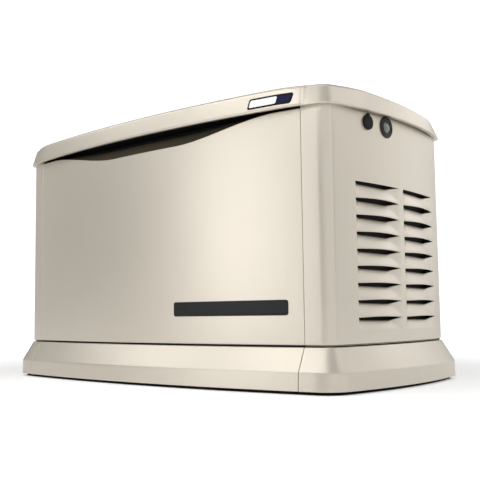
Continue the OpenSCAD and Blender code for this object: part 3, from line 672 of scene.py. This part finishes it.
# %% [markdown]
# ## Places on the right end
# The lock's cover and the status light sit on the bowed right end. A matrix stands there with its
# own Z pointing straight out of the sheet and its own Y up, so that round pieces can be turned about
# Z like work in a lathe, and then set in place.

# %% Round pieces and where they sit
LOCK_Y, STATUS_Y, ROUND_Z = -113 * MM, -35 * MM, 632.5 * MM


def on_end(y, z, side=1):
    """Matrix at a point of an end panel, local Z outward, local Y up"""
    angle = math.asin((y - MIDDLE_Y) / SIDE_R)
    out = Vector((math.cos(angle), math.sin(angle), 0))
    up = Vector((0, 0, 1))
    across = up.cross(out)
    place = Matrix((across, up, out)).transposed().to_4x4()
    place.translation = (side_c.x + SIDE_R * out.x, y, z)
    return place if side > 0 else Matrix.Diagonal((-1, 1, 1, 1)) @ place


def turned(profile, steps=48):
    """A bmesh turned about Z from (radius, height) points in millimetres, its poles closed"""
    bm = bmesh.new()
    verts = [bm.verts.new((r * MM, 0, h * MM)) for r, h in profile]
    edges = [bm.edges.new(pair) for pair in zip(verts, verts[1:])]
    bmesh.ops.spin(bm, geom=verts + edges, cent=(0, 0, 0), axis=(0, 0, 1), angle=2 * math.pi,
                   steps=steps, use_merge=True)
    bmesh.ops.remove_doubles(bm, verts=bm.verts, dist=0.005 * MM)
    return bm


def add_block(bm, low, high, radius, segments=2):
    """Adds a box from corner to corner, in millimetres, its edges rounded"""
    low, high = Vector(low) * MM, Vector(high) * MM
    made = bmesh.ops.create_cube(bm, size=1)["verts"]
    size = high - low
    for vert in made:
        vert.co = vert.co * size + (low + high) / 2
    edges = {e for v in made for e in v.link_edges}
    bmesh.ops.bevel(bm, geom=list(edges), offset=radius * MM, affect="EDGES", segments=segments,
                    profile=0.5, material=-1)


def set_in_place(bm, matrix):
    bmesh.ops.transform(bm, matrix=matrix, verts=bm.verts)
    bmesh.ops.recalc_face_normals(bm, faces=bm.faces)
    return bm


print("status light at", [round(c * 1000) for c in on_end(STATUS_Y, ROUND_Z).translation])

# %% [markdown]
# ## Lock cover and status light
# A rubber cap with a finger tab keeps the rain out of the roof lock. Next to it a stepped black bezel
# holds a frosted lens, which glows on the real machine when it is ready.

# %% Lock covers
def lock_cover(name, side, body, node_name):
    bm = turned([(0, 6.4), (12, 6.4), (14.4, 6), (15, 5.4), (17, 5.2), (18, 4.4), (18, 1.4), (17, 0.6),
                 (9.6, 0.6), (9.6, 3.2), (0, 3.2)])
    add_block(bm, (-4.2, 14, 0.8), (4.2, 21.4, 6), 1.4, 3)
    piece = finish_piece(name, set_in_place(bm, on_end(LOCK_Y, ROUND_Z, side)), [RUBBER], body)
    stands_for(piece, node_name, "rubber")


lock_cover("lock_cap_rubber_right", 1, "lock_cap_right", "lock_cover_right")
lock_cover("lock_cap_rubber_left", -1, "lock_cap_left", "lock_cover_left")
print("two lock covers")

# %% Status light
LENS_FINISH, lens_shader = new_finish("frosted_lens", 0.28, 0.0, 0.5, 0.4)
ramp(LENS_FINISH, noise(LENS_FINISH, 90, 2).outputs["Fac"],
     [(0.3, (0.13, 0.135, 0.115)), (0.7, (0.17, 0.175, 0.15))], lens_shader.inputs["Base Color"])
bump(LENS_FINISH, lens_shader, noise(LENS_FINISH, 1500, 1).outputs["Fac"], 0.08 * MM)
BEZEL = coated("moulded_black_bezel", (0.012, 0.012, 0.013), 0.34, drift=0.1, grain=600, depth=0.04,
               specular=0.25)
bezel_bm = turned([(14.2, -9), (14.2, 2.2), (15, 3.6), (17.6, 3.8), (18.6, 2.4), (21.5, 2.2), (22.5, 3.4),
                   (25.4, 3.0), (27, 1.6), (27, 0.1), (22.6, 0.1), (22.6, -9), (14.2, -9)], 64)
lens_bm = turned([(0, 6.0), (4, 5.7), (8, 4.9), (11.4, 3.5), (13.4, 2.0), (13.9, 0.8), (13.9, -8),
                  (0, -8)], 64)
at_status = on_end(STATUS_Y, ROUND_Z)
bezel = finish_piece("status_bezel_ring", set_in_place(bezel_bm, at_status), [BEZEL], "enclosure")
stands_for(bezel, "status_bezel", "rubber")
lens = finish_piece("status_lens_dome", set_in_place(lens_bm, at_status), [LENS_FINISH], "enclosure")
stands_for(lens, "status_lens", "smoke_lens")
print("status light 54 mm across")

# %% [markdown]
# ## Badge and name bar
# The roof carries a small slanted plate and the door a long bar. Both are left blank here: a plain
# two-tone plate and a plain charcoal bar. Each is a grid pressed onto the bowed front.

# %% Blank badge on the roof
BADGE_EDGE = coated("badge_rim", (0.005, 0.005, 0.008), 0.4, grain=900, depth=0.01, specular=0.1)
BADGE_PALE = coated("badge_pale_half", (0.86, 0.86, 0.85), 0.3, drift=0.01, grain=900, depth=0.01)
BADGE_NAVY = coated("badge_navy_half", (0.006, 0.009, 0.04), 0.4, grain=900, depth=0.01, specular=0.1)
BADGE_FROM, BADGE_TO, BADGE_FOOT, BADGE_HEAD = 364 * MM, 480 * MM, 664.5 * MM, 690 * MM
BADGE_LEAN = 0.3
BADGE_SPLIT = 441 * MM
BAND_LEAN = 3 / 41


def badge_part(name, start, end, foot, head, lift, finish, corner):
    """A slanted plate with round corners on the roof's band, lift outside it"""

    def place(x, z):
        inset = min(abs(z - foot), abs(head - z))
        reach = min(x - start, end - x)
        pull = 0.0
        if inset < corner and reach < corner:
            pull = corner - math.sqrt(max(0, corner ** 2 - (corner - inset) ** 2))
            pull *= 1 - reach / corner
        x_moved = x + (pull if x < (start + end) / 2 else -pull)
        s = along_front(x_moved + BADGE_LEAN * (z - BADGE_FOOT))
        out = ROOF_OUT - 1 * MM - BAND_LEAN * (z - ROOF_FOOT) + PROUD + lift - drawn_in(s, band_share(z))
        return standing(s, out, z)

    edge_x = [start + corner * t for t in (0, 0.25, 0.5, 0.75)]
    edge_z = [foot + corner * t for t in (0, 0.15, 0.4, 0.7)]
    xs = edge_x + spread(start + corner, end - corner, 12) + [end - (x - start) for x in reversed(edge_x)]
    zs = edge_z + spread(foot + corner, head - corner, 3) + [head - (z - foot) for z in reversed(edge_z)]
    piece = sheet_piece(name, pressed(xs, zs, place), [finish], "lid", lift + 0.6 * MM)
    return piece


rim = badge_part("badge_rim_plate", BADGE_FROM, BADGE_TO, BADGE_FOOT, BADGE_HEAD, 1 * MM, BADGE_EDGE, 5 * MM)
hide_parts("lid_badge")
RIM = 4.2 * MM
for name, start, end, finish in (("badge_pale_plate", BADGE_FROM + RIM, BADGE_SPLIT, BADGE_PALE),
                                 ("badge_navy_plate", BADGE_SPLIT + 0.6 * MM, BADGE_TO - RIM, BADGE_NAVY)):
    badge_part(name, start, end, BADGE_FOOT + RIM, BADGE_HEAD - RIM, 1.5 * MM, finish, 3.5 * MM)
print("blank badge", round((BADGE_TO - BADGE_FROM) / MM), "mm long")

# %% Blank bar on the door
BAR = coated("charcoal_bar", (0.009, 0.009, 0.010), 0.38, drift=0.08, grain=900, depth=0.02, specular=0.2)
BAR_FROM, BAR_TO, BAR_FOOT, BAR_HEAD, BAR_ROUND = 113 * MM, 455 * MM, 176 * MM, 212 * MM, 6 * MM


def place_bar(x, z):
    """Plate on the door whose ends are half rounds"""
    reach = min(x - BAR_FROM, BAR_TO - x)
    inside = max(0, BAR_ROUND - reach)
    squeeze = BAR_ROUND - math.sqrt(max(0, BAR_ROUND ** 2 - inside ** 2))
    middle = (BAR_FOOT + BAR_HEAD) / 2
    half = (BAR_HEAD - BAR_FOOT) / 2
    return standing(along_front(x), 0.8 * MM, middle + (z - middle) * (half - squeeze) / half)


end_steps = [BAR_ROUND * t for t in (0, 0.06, 0.2, 0.45, 0.7, 1)]
bar_xs = [BAR_FROM + t for t in end_steps] + spread(BAR_FROM + BAR_ROUND, BAR_TO - BAR_ROUND, 24)[1:-1]
bar_xs += [BAR_TO - t for t in reversed(end_steps)]
bar_bm = pressed(bar_xs, spread(BAR_FOOT, BAR_HEAD, 4), place_bar)
bar = sheet_piece("door_name_bar", bar_bm, [BAR], "door", 1.2 * MM)
print("blank bar", round((BAR_TO - BAR_FROM) / MM), "mm long")

# %% [markdown]
# ## Dark strip and baffles behind the sheet
# A black strip runs along the gap between the panels and the base wrap, and a dark felt-faced
# baffle stands behind each bank of louvres. Both are painted shade: their black stands for the
# shadow inside the gap and the enclosure, and makes the gaps and slots look black from outside.

# %% Foot strip and louvre baffles, painted shade
# Painted shade: the baffles' near-black felt stands for the shadow inside the enclosure behind the louvres.
SHADE_FELT = coated("felt_painted_shade", (0.02, 0.019, 0.017), 0.95, drift=0.3, grain=900, depth=0.4, specular=0.2)
strip_profile = rounded([(-8 * MM, 92 * MM), (-3.2 * MM, 92 * MM), (-3.2 * MM, 118 * MM), (-8 * MM, 118 * MM)],
                       [1.5 * MM, 1.5 * MM], 3)
strip_lines = merged(spread(-HALF, -STOPS[1], 30), spread(-STOPS[1], STOPS[1], 20), spread(STOPS[1], HALF, 30))


def place_strip(s, row):
    return standing(s, *row)


# Painted shade: the black strip stands for the shadow in the gap at the panels' foot.
strip_bm = pressed(strip_lines, strip_profile, place_strip)
foot_shade_strip = sheet_piece("panel_foot_shade_strip", strip_bm, [RUBBER], thickness=1 * MM, crease=60)

BAFFLE_IN = -24 * MM
baffle_rows = folded(spread(118 * MM, 505 * MM, 6), 3 * MM, 10 * MM)


def baffle(name, start, end):
    lines = folded(spread(start, end, 10), 3 * MM, 10 * MM)

    def place(column, row):
        return standing(column[0], BAFFLE_IN + min(column[1], row[1]), row[0])

    sheet_piece(name, pressed(lines, baffle_rows, place), [SHADE_FELT])


end_reach = along_end(END_BANKS[0][0] - 12 * MM), along_end(END_BANKS[1][1] + 12 * MM)
baffle("louvre_shade_baffle_right", *end_reach)
baffle("louvre_shade_baffle_left", -end_reach[1], -end_reach[0])
for mark, (start, end) in zip("ab", rear_banks):
    baffle("louvre_shade_baffle_rear_" + mark, start - 10 * MM, end + 10 * MM)
print("foot seal and four baffles")

# %% [markdown]
# ## Softening the inner parts
# Inside stand moulded, cast and folded parts whose sizes are already fixed. Each is copied from its
# plain solid, its flat faces are cleaned, and every sharp edge gets the small radius that a mould, a
# casting or a folded sheet leaves. One short table gives each part its finish and its radius.

# %% Finishes inside
GALVANISED = coated("galvanised_sheet", (0.52, 0.53, 0.54), 0.42, drift=0.12, grain=160, depth=0.03,
                    metallic=0.9)
STEEL = coated("plated_steel", (0.56, 0.56, 0.55), 0.28, drift=0.04, grain=1500, depth=0.01, metallic=1.0)
ALLOY = coated("cast_alloy", (0.50, 0.51, 0.52), 0.55, drift=0.07, grain=900, depth=0.12, metallic=0.85)
HEAT = coated("heat_tinted_steel", (0.30, 0.24, 0.18), 0.45, drift=0.3, grain=300, depth=0.03, metallic=0.9)
BRASS = coated("machined_brass", (0.62, 0.47, 0.20), 0.30, drift=0.05, grain=1200, depth=0.01, metallic=1.0)
BLACK_PLASTIC = coated("black_moulding", (0.014, 0.014, 0.016), 0.55, drift=0.1, grain=1400, depth=0.08)
GREY_PLASTIC = coated("grey_moulding", (0.045, 0.048, 0.054), 0.5, drift=0.06, grain=1400, depth=0.05)
BATTERY = coated("battery_moulding", (0.016, 0.017, 0.021), 0.48, drift=0.08, grain=1000, depth=0.06)
FILTER = coated("blue_enamel", (0.02, 0.055, 0.19), 0.3, drift=0.05, grain=800, depth=0.01)
FOAM = coated("acoustic_foam", (0.02, 0.02, 0.022), 0.95, drift=0.3, grain=240, depth=1.2, specular=0.1)
YELLOW = coated("yellow_handle", (0.78, 0.47, 0.03), 0.35, drift=0.04)
IVORY = coated("ivory_moulding", (0.72, 0.69, 0.60), 0.4, drift=0.03)
GREEN = coated("green_key", (0.03, 0.24, 0.05), 0.35, drift=0.03)
RED = coated("red_key", (0.46, 0.02, 0.014), 0.35, drift=0.03)
BLUE = coated("blue_key", (0.02, 0.07, 0.30), 0.35, drift=0.03)
COPPER = coated("wound_copper", (0.52, 0.20, 0.09), 0.4, drift=0.2, grain=500, depth=0.2, metallic=0.8)
GLASS = coated("dark_display", (0.025, 0.034, 0.026), 0.12, drift=0.05, grain=400, depth=0.0, specular=0.6)
WOVEN = coated("corrugated_loom", (0.016, 0.016, 0.018), 0.6, drift=0.1, grain=900, depth=0.2)
print("finishes:", len(bpy.data.materials))

# %% Softened parts
SHARP = math.radians(40)


def softened(node_name, finish, slot_name, radius, body):
    """A copy of a plain solid with clean flats and its sharp edges rounded"""
    bm = bmesh.new()
    bm.from_mesh(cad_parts[node_name].data)
    bmesh.ops.remove_doubles(bm, verts=bm.verts, dist=0.02 * MM)
    bmesh.ops.dissolve_limit(bm, angle_limit=math.radians(1), verts=bm.verts, edges=bm.edges)
    bmesh.ops.dissolve_degenerate(bm, edges=bm.edges, dist=0.02 * MM)
    if radius:
        sharp = [e for e in bm.edges if len(e.link_faces) == 2 and e.calc_face_angle(0) > SHARP]
        bmesh.ops.bevel(bm, geom=sharp, offset=radius, affect="EDGES", segments=2, profile=0.5,
                        material=-1, clamp_overlap=True)
        bmesh.ops.remove_doubles(bm, verts=bm.verts, dist=0.01 * MM)
    bmesh.ops.recalc_face_normals(bm, faces=bm.faces)
    finishes = [finish]
    if node_name in SECOND:
        second, test = SECOND[node_name]
        finishes.append(second)
        for face in bm.faces:
            face.material_index = 1 if test(face.calc_center_median() / MM) else 0
    piece = even_light(finish_piece(node_name + "_finished", bm, finishes, body))
    return stands_for(piece, node_name, slot_name)


print("softened: edges sharper than", round(math.degrees(SHARP)), "degrees")

# %% The inner parts
SECOND = {
    "dipstick": (STEEL, lambda middle: middle.z < 349),
    "battery": (STEEL, lambda middle: middle.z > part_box("battery")[1].z / MM - 15.8),
    "starter_motor": (STEEL, lambda middle: middle.x > 60.5),
}
INNER = [
    ("mounting_pad", PAD, "pad_composite", 3.0), ("base_tray", GALVANISED, "galvanised", 0.5),
    # The front rail's black paint is partly painted shade: it stands behind the gap under the roof, where the
    # machine is dark with shadow.
    ("front_rail", BLACK_PAINT, "black_paint", 0.6), ("exhaust_divider", GALVANISED, "galvanised", 0.4),
    ("hinge_leaves_fixed", BLACK_PAINT, "black_paint", 0.4),
    ("lid_hinge_leaves", BLACK_PAINT, "black_paint", 0.4, "lid"), ("hinge_pins", STEEL, "steel", 0.5),
    ("lid_liner", FOAM, "foam", 3.0, "lid"), ("lid_catches", GALVANISED, "galvanised", 0.4, "lid"),
    ("control_box", BLACK_PAINT, "black_paint", 0.6), ("control_bezel", GREY_PLASTIC, "grey_plastic", 0.8),
    ("display_window", GLASS, "display_glass", 0.4), ("breaker_body", BLACK_PLASTIC, "black_plastic", 0.8),
    ("breaker_toggle", IVORY, "ivory_plastic", 0.9, "toggle"),
    ("button_auto", GREEN, "green_key", 0.8, "auto_button"),
    ("button_off", RED, "red_key", 0.8, "off_button"),
    ("button_manual", BLUE, "blue_key", 0.8, "manual_button"), ("battery", BATTERY, "battery_case", 3.0),
    ("battery_strap", GALVANISED, "galvanised", 0.5), ("engine_cradle", BLACK_PAINT, "black_paint", 1.0),
    ("rubber_mounts", RUBBER, "rubber", 2.0), ("crankcase", ALLOY, "cast_alloy", 2.5),
    ("cylinder_banks", ALLOY, "cast_alloy", 0.7), ("rocker_covers", BLACK_PAINT, "black_paint", 4.0),
    ("blower_housing", BLACK_PLASTIC, "black_plastic", 2.0),
    ("flywheel_fan", ALLOY, "cast_alloy", 0.5, "rotor"), ("rotor_shaft", STEEL, "steel", 1.0, "rotor"),
    ("stator_can", GALVANISED, "galvanised", 1.0), ("bearing_carrier", ALLOY, "cast_alloy", 1.2),
    ("starter_motor", BLACK_PAINT, "black_paint", 2.0), ("oil_filter", FILTER, "filter_paint", 4.0),
    ("intake_mixer", ALLOY, "cast_alloy", 1.5), ("airbox", BLACK_PLASTIC, "black_plastic", 1.2),
    ("airbox_cover", BLACK_PLASTIC, "black_plastic", 2.0, "air_cover"),
    ("dipstick", YELLOW, "yellow_plastic", 1.0, "dipstick"), ("exhaust_pipes", HEAT, "heat_steel", 0.0),
    ("muffler", HEAT, "heat_steel", 1.0), ("fuel_regulator", ALLOY, "cast_alloy", 2.5),
    ("fuel_hose", RUBBER, "rubber", 0.0), ("cable_loom", WOVEN, "rubber", 0.0),
    ("fuel_inlet", BRASS, "brass", 0.8), ("conduit_entry", ALLOY, "cast_alloy", 0.6),
    ("rim_seal", RUBBER, "rubber", 0.6), ("lock_barrel_right", STEEL, "steel", 0.5, "lock_right"),
    ("lock_barrel_left", STEEL, "steel", 0.5, "lock_left"),
]
for node_name, finish, slot_name, radius, *moving in INNER:
    piece = softened(node_name, finish, slot_name, radius * MM, moving[0] if moving else "enclosure")
    low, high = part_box(node_name)
    spots = [v.co for v in piece.data.vertices]
    grown = max(max(low[i] - min(c[i] for c in spots), max(c[i] for c in spots) - high[i]) for i in range(3))
    if grown > 0.1 * MM:
        print("grown", node_name, round(grown / MM, 2))
print("softened parts:", len(INNER))

# %% [markdown]
# ## Fastenings and fittings
# The small parts say what a machine is: bolt heads, clamps, a wire guard over the fan's inlet, copper
# ends of the winding, caps on the battery. Each group is one piece, made from a turned profile, a hex
# head or a rounded block put in its place, so a row of bolts is a row of numbers.

# %% Small shapes in their places
def placed(at, axis=(0, 0, 1)):
    """Matrix at a point in millimetres, its Z along an axis"""
    turn = Vector(axis).to_track_quat("Z", "Y").to_matrix().to_4x4()
    turn.translation = Vector(at) * MM
    return turn


def add_turned(bm, profile, matrix, steps=32):
    """Adds a shape turned from (radius, height) points in millimetres"""
    shape = turned(profile, steps)
    bmesh.ops.transform(shape, matrix=matrix, verts=shape.verts)
    mesh = bpy.data.meshes.new("turned_shape")
    shape.to_mesh(mesh)
    shape.free()
    bm.from_mesh(mesh)
    bpy.data.meshes.remove(mesh)


def add_bolt(bm, matrix, radius=5.0, height=4.0):
    """Adds a hex head on its washer"""
    add_turned(bm, [(0, 0), (radius * 1.35, 0), (radius * 1.35, 0.9), (0, 0.9)], matrix, 20)
    lift = Matrix.Translation((0, 0, (0.85 + height / 2) * MM))
    head = bmesh.ops.create_cone(bm, cap_ends=True, segments=6, radius1=radius * MM, radius2=radius * MM,
                                 depth=height * MM, matrix=matrix @ lift)["verts"]
    top = max((matrix.inverted() @ v.co).z for v in head)
    rim = {e for v in head for e in v.link_edges
           if all((matrix.inverted() @ w.co).z > top - 0.1 * MM for w in e.verts)}
    bmesh.ops.bevel(bm, geom=list(rim), offset=0.5 * MM, affect="EDGES", segments=1, profile=0.5, material=-1)


def ring(inner, outer, foot, head, soft=0.4):
    """Closed profile of a ring with softened outer edges"""
    return [(inner, foot), (outer - soft, foot), (outer, foot + soft), (outer, head - soft),
            (outer - soft, head), (inner, head), (inner, foot)]


def fitting(name, bm, finish, slot_name):
    bmesh.ops.recalc_face_normals(bm, faces=bm.faces)
    piece = even_light(finish_piece(name, bm, [finish], "enclosure"))
    return piece


SHAFT_Y, SHAFT_Z, BANK_X, MUFFLER_X, MUFFLER_Z = 10, 250, 40, 410, 190
print("shaft axis at", SHAFT_Y, SHAFT_Z)

# %% Rear screws
bm = bmesh.new()
for x in (-484, 484):
    for z in (150, 320, 490, 620):
        s = along_rear(abs(x) * MM)
        flat, beyond = outline(s, 0), outline(s, 10 * MM)
        out = Vector((abs(beyond.x - flat.x), beyond.y - flat.y, 0)).normalized()
        side = -1 if x < 0 else 1
        matrix = placed((side * flat.x / MM, flat.y / MM, z), (side * out.x, out.y, 0))
        add_turned(bm, [(0, 2.9), (1.2, 2.8), (1.6, 2.0), (2.4, 2.6), (4.0, 1.9), (4.8, 0.9), (4.9, 0.1),
                        (0, 0.1)], matrix, 20)
screws = fitting("enclosure_screw_heads", bm, STEEL, "steel")
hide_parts("enclosure_screws")
print("screws: 8")

# %% Winding ends and through bolts
bm = bmesh.new()
for x in (-327, -143):
    add_turned(bm, [(64, 1), (67, 0), (84, 0), (90, 4), (90, 9), (84, 13), (67, 13), (64, 12), (64, 1)],
               placed((x, SHAFT_Y, SHAFT_Z), (1, 0, 0)), 64)
fitting("winding_ends", bm, COPPER, "brass")
bm = bmesh.new()
for turn in (45, 135, 225, 315):
    y, z = SHAFT_Y + 123 * math.cos(math.radians(turn)), SHAFT_Z + 123 * math.sin(math.radians(turn))
    add_turned(bm, [(0, 0), (3, 0), (3, 204), (0, 204)], placed((-338, y, z), (1, 0, 0)), 16)
    add_bolt(bm, placed((-338, y, z), (-1, 0, 0)), 5.5, 5)
fitting("alternator_through_bolts", bm, STEEL, "steel")
print("through bolts: 4")

# %% Fan guard
bm = bmesh.new()
at = placed((226.5, SHAFT_Y, SHAFT_Z), (1, 0, 0))
for radius in (18, 30, 42, 54, 66):
    add_turned(bm, [(radius + 1.2 * math.cos(a), 1.2 + 1.2 * math.sin(a))
                    for a in (math.radians(45 * i) for i in range(9))], at, 48)
for turn in range(0, 360, 45):
    spoke = at @ Matrix.Rotation(math.radians(turn), 4, "Z")
    across = spoke @ Matrix.Translation((17 * MM, 0, 1.2 * MM)) @ Matrix.Rotation(math.pi / 2, 4, "Y")
    add_turned(bm, [(0, 0), (1.1, 0), (1.1, 54), (0, 54)], across, 8)
fitting("fan_inlet_guard", bm, BLACK_PAINT, "black_paint")
print("guard rings: 5")

# %% Engine bolts, flanges and clips
def on_bank(side, x, y, z):
    """Matrix at a point of a cylinder bank's own axes, Z along the cylinder"""
    middle = Matrix.Translation(Vector((BANK_X, SHAFT_Y, SHAFT_Z)) * MM)
    lean = Matrix.Rotation(-side * math.pi / 4, 4, "X")
    return middle @ lean @ Matrix.Translation(Vector((x, y, z)) * MM)


bm = bmesh.new()
for side in (-1, 1):
    for x in (-45, 45):
        add_bolt(bm, on_bank(side, x, 0, 253), 5, 4)
for y in (-90, -30, 30, 90):
    add_bolt(bm, placed((-58.5, SHAFT_Y + y, 158), (-1, 0, 0)), 4, 3.5)
for turn in range(0, 360, 60):
    x, y = -455 + 25 * math.cos(math.radians(turn)), 205 + 25 * math.sin(math.radians(turn))
    add_bolt(bm, placed((x, y, 562)), 3, 2.5)
fitting("engine_bolt_heads", bm, STEEL, "steel")
bm = bmesh.new()
for side in (-1, 1):
    at_head = placed((101.5, SHAFT_Y + side * 145, 395), (1, 0, 0))
    add_turned(bm, ring(19.2, 27, 0.5, 6.5, 1.2), at_head, 40)
    for y, z in ((-17, 17), (17, -17)):
        add_bolt(bm, placed((108, SHAFT_Y + side * 145 + y * 0.82, 395 + z * 0.82), (1, 0, 0)), 3.2, 3)
fitting("exhaust_flanges", bm, HEAT, "heat_steel")
bm = bmesh.new()
for y in (-183, -132, 132, 183):
    width = 3 if abs(y) > 150 else 18
    add_turned(bm, ring(76.1, 78.4 if width > 3 else 77.6, -width / 2, width / 2, 0.5),
               placed((MUFFLER_X, SHAFT_Y + y, MUFFLER_Z), (0, 1, 0)), 72)
fitting("muffler_bands", bm, GALVANISED, "galvanised")
bm = bmesh.new()
for x in (-15, 95):
    for side in (-1, 1):
        y = SHAFT_Y + side * 63.4
        add_block(bm, (x - 7, y - 1.2, 492), (x + 7, y + 1.2, 541), 0.8)
        reach = sorted((SHAFT_Y + side * 59.9, SHAFT_Y + side * 64))
        add_block(bm, (x - 7, reach[0], 492), (x + 7, reach[1], 495), 0.6)
fitting("air_cleaner_clips", bm, GALVANISED, "galvanised")
print("muffler bands: 4, clips: 4")

# %% Battery caps and hose clamps
bm = bmesh.new()
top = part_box("battery")[1].z / MM - 16
for i in range(6):
    add_turned(bm, [(0, 3), (7.5, 3), (9, 1.8), (9, 0), (0, 0)], placed((-518, -210 + i * 35.2, top)), 24)
fitting("battery_vent_caps", bm, YELLOW, "yellow_plastic")
bm = bmesh.new()
for y in (30, 178):
    add_turned(bm, ring(9.1, 13.5, 4, 11, 1), placed((-405, -226 + y, top)), 32)
    add_block(bm, (-394, -226 + y - 5, top + 5), (-383, -226 + y + 5, top + 10), 1)
fitting("battery_clamps", bm, BRASS, "brass")
bm = bmesh.new()
for at, axis in (((-392, 205, 505), (1, 0, 0)), ((-14, SHAFT_Y, 370), (1, 0, 0))):
    add_turned(bm, ring(10.1, 11.6, -5, 5, 0.4), placed(at, axis), 32)
    add_block(bm, Vector(at) + Vector((-5, -4, 11)), Vector(at) + Vector((5, 6, 16)), 1)
fitting("hose_clamps", bm, STEEL, "steel")
print("vent caps: 6, clamps: 4")

# %% Panel lamps
for x, finish, name, slot_name in ((-508, GREEN, "lamp_ready", "green_key"),
                                   (-494, YELLOW, "lamp_service", "yellow_plastic"),
                                   (-480, RED, "lamp_fault", "red_key")):
    bm = bmesh.new()
    add_turned(bm, [(0, 2.6), (1.3, 2.3), (2.2, 1.4), (2.5, 0.2), (0, 0.2)], placed((x, -154, 618)), 16)
    fitting(name, bm, finish, slot_name)
print("lamps: 3")

# %% [markdown]
# ## Floor and light
# A plain pale floor and soft boxes, as in a product studio. Tall boxes in an arc to the left give the
# bowed door its broad bright band and its darker left third, taller ones beyond the right end light
# the end panel evenly, and small boxes close above the roof's front edge pick out its sloped rim.

# %% Floor
FLOOR_RADIUS = 3.6
GLOW_FROM, GLOW_TO, GLOW_NEAR, GLOW_FAR = 0.9, 2.2, 0.26, 0.75
floor_bm = bmesh.new()
bmesh.ops.create_circle(floor_bm, cap_ends=True, segments=96, radius=FLOOR_RADIUS)
floor_mesh = bpy.data.meshes.new("studio_floor")
floor_bm.to_mesh(floor_mesh)
floor_bm.free()
floor = in_scene("studio_floor", floor_mesh)
FLOOR, floor_shader = new_finish("pale_floor", 0.9, 0.0, 0.2)
ramp(FLOOR, noise(FLOOR, 3).outputs["Fac"], [(0.3, 0.94), (0.7, 0.96)], floor_shader.inputs["Base Color"])
floor_shader.inputs["Emission Color"].default_value = (1, 1, 1, 1)
centre, far, glow = (node(FLOOR, "ShaderNode" + kind) for kind in ("TexCoord", "VectorMath", "MapRange"))
far.operation = "LENGTH"
for socket, value in zip(("From Min", "From Max", "To Min", "To Max"),
                         (GLOW_FROM, GLOW_TO, GLOW_NEAR, GLOW_FAR)):
    glow.inputs[socket].default_value = value
for source, target in ((centre.outputs["Object"], far.inputs[0]),
                       (far.outputs["Value"], glow.inputs["Value"]),
                       (glow.outputs["Result"], floor_shader.inputs["Emission Strength"])):
    FLOOR.node_tree.links.new(source, target)
floor_mesh.materials.append(FLOOR)
floor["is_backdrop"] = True
print("floor", 2 * FLOOR_RADIUS, "m across")

# %% Lights
def softbox(name, place, size, power, aim=(0, 0, 0.35)):
    """An area light at a place, turned towards its aim"""
    light = bpy.data.lights.new(name, "AREA")
    light.shape = "RECTANGLE"
    light.size, light.size_y = size
    light.energy = power
    box = in_scene(name, light)
    box.location = place
    box.rotation_euler = (Vector(aim) - box.location).to_track_quat("-Z", "Y").to_euler()
    return box


def around(bearing, distance, height):
    """A place at a bearing from straight in front, positive to the right"""
    angle = math.radians(bearing)
    return (distance * math.sin(angle), -distance * math.cos(angle), height)


for bearing, power in [(-75, 3.0), (-26, 20.2), (-14, 9.1), (10, 0.8)]:
    softbox(f"low_box_{bearing}", around(bearing, 4.5, 0.9), (0.9, 1.8), power)
for bearing, power in [(-62, 12.9), (-50, 12.4)]:
    softbox(f"high_box_{bearing}", around(bearing, 4.0, 3.0), (0.9, 1.6), power)
for bearing, power in [(40, 9.0), (60, 10.8), (75, 4.2), (90, 13.4), (120, 9.0), (137, 10.0),
                       (152, 12.0), (167, 9.0)]:
    softbox(f"end_box_{bearing}", around(bearing, 4.5, 1.5), (1.0, 2.8), power)
softbox("near_roof_box", (-0.6, -1.5, 1.7), (0.6, 0.6), 5.0, (-0.6, -0.3, 0.35))
softbox("near_rim_box", (0.5, -1.3, 1.25), (1.1, 0.4), 4.4, (0.4, -0.3, 0.25))
softbox("near_end_box", (2.1, 0.5, 1.9), (1.5, 1.2), 6.0, (0.6, 0, 0.35))
softbox("top_box", (0.5, -0.9, 3.5), (3.2, 2.0), 26, (0.2, -0.3, 0.2))
softbox("rear_box", (0, 3.4, 2.8), (5.0, 2.5), 30, (0, 1.4, 0))

# %% Room and sky
ROOM_LIGHT, SKY_LIGHT = 0.17, 1.2
world = bpy.data.worlds.new("studio")
bpy.context.scene.world = world
world.use_nodes = True
nodes, links = world.node_tree.nodes, world.node_tree.links
room, sky = nodes["Background"], nodes.new("ShaderNodeBackground")
for glowing, strength in ((room, ROOM_LIGHT), (sky, SKY_LIGHT)):
    glowing.inputs["Color"].default_value = (1, 1, 1, 1)
    glowing.inputs["Strength"].default_value = strength
seen, either = nodes.new("ShaderNodeLightPath"), nodes.new("ShaderNodeMixShader")
links.new(seen.outputs["Is Camera Ray"], either.inputs["Fac"])
links.new(room.outputs["Background"], either.inputs[1])
links.new(sky.outputs["Background"], either.inputs[2])
links.new(either.outputs["Shader"], nodes["World Output"].inputs["Surface"])
bpy.context.scene.view_settings.view_transform = "Standard"
print("room", ROOM_LIGHT, "sky", SKY_LIGHT)

# %% Bounds of the scene
low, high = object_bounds()
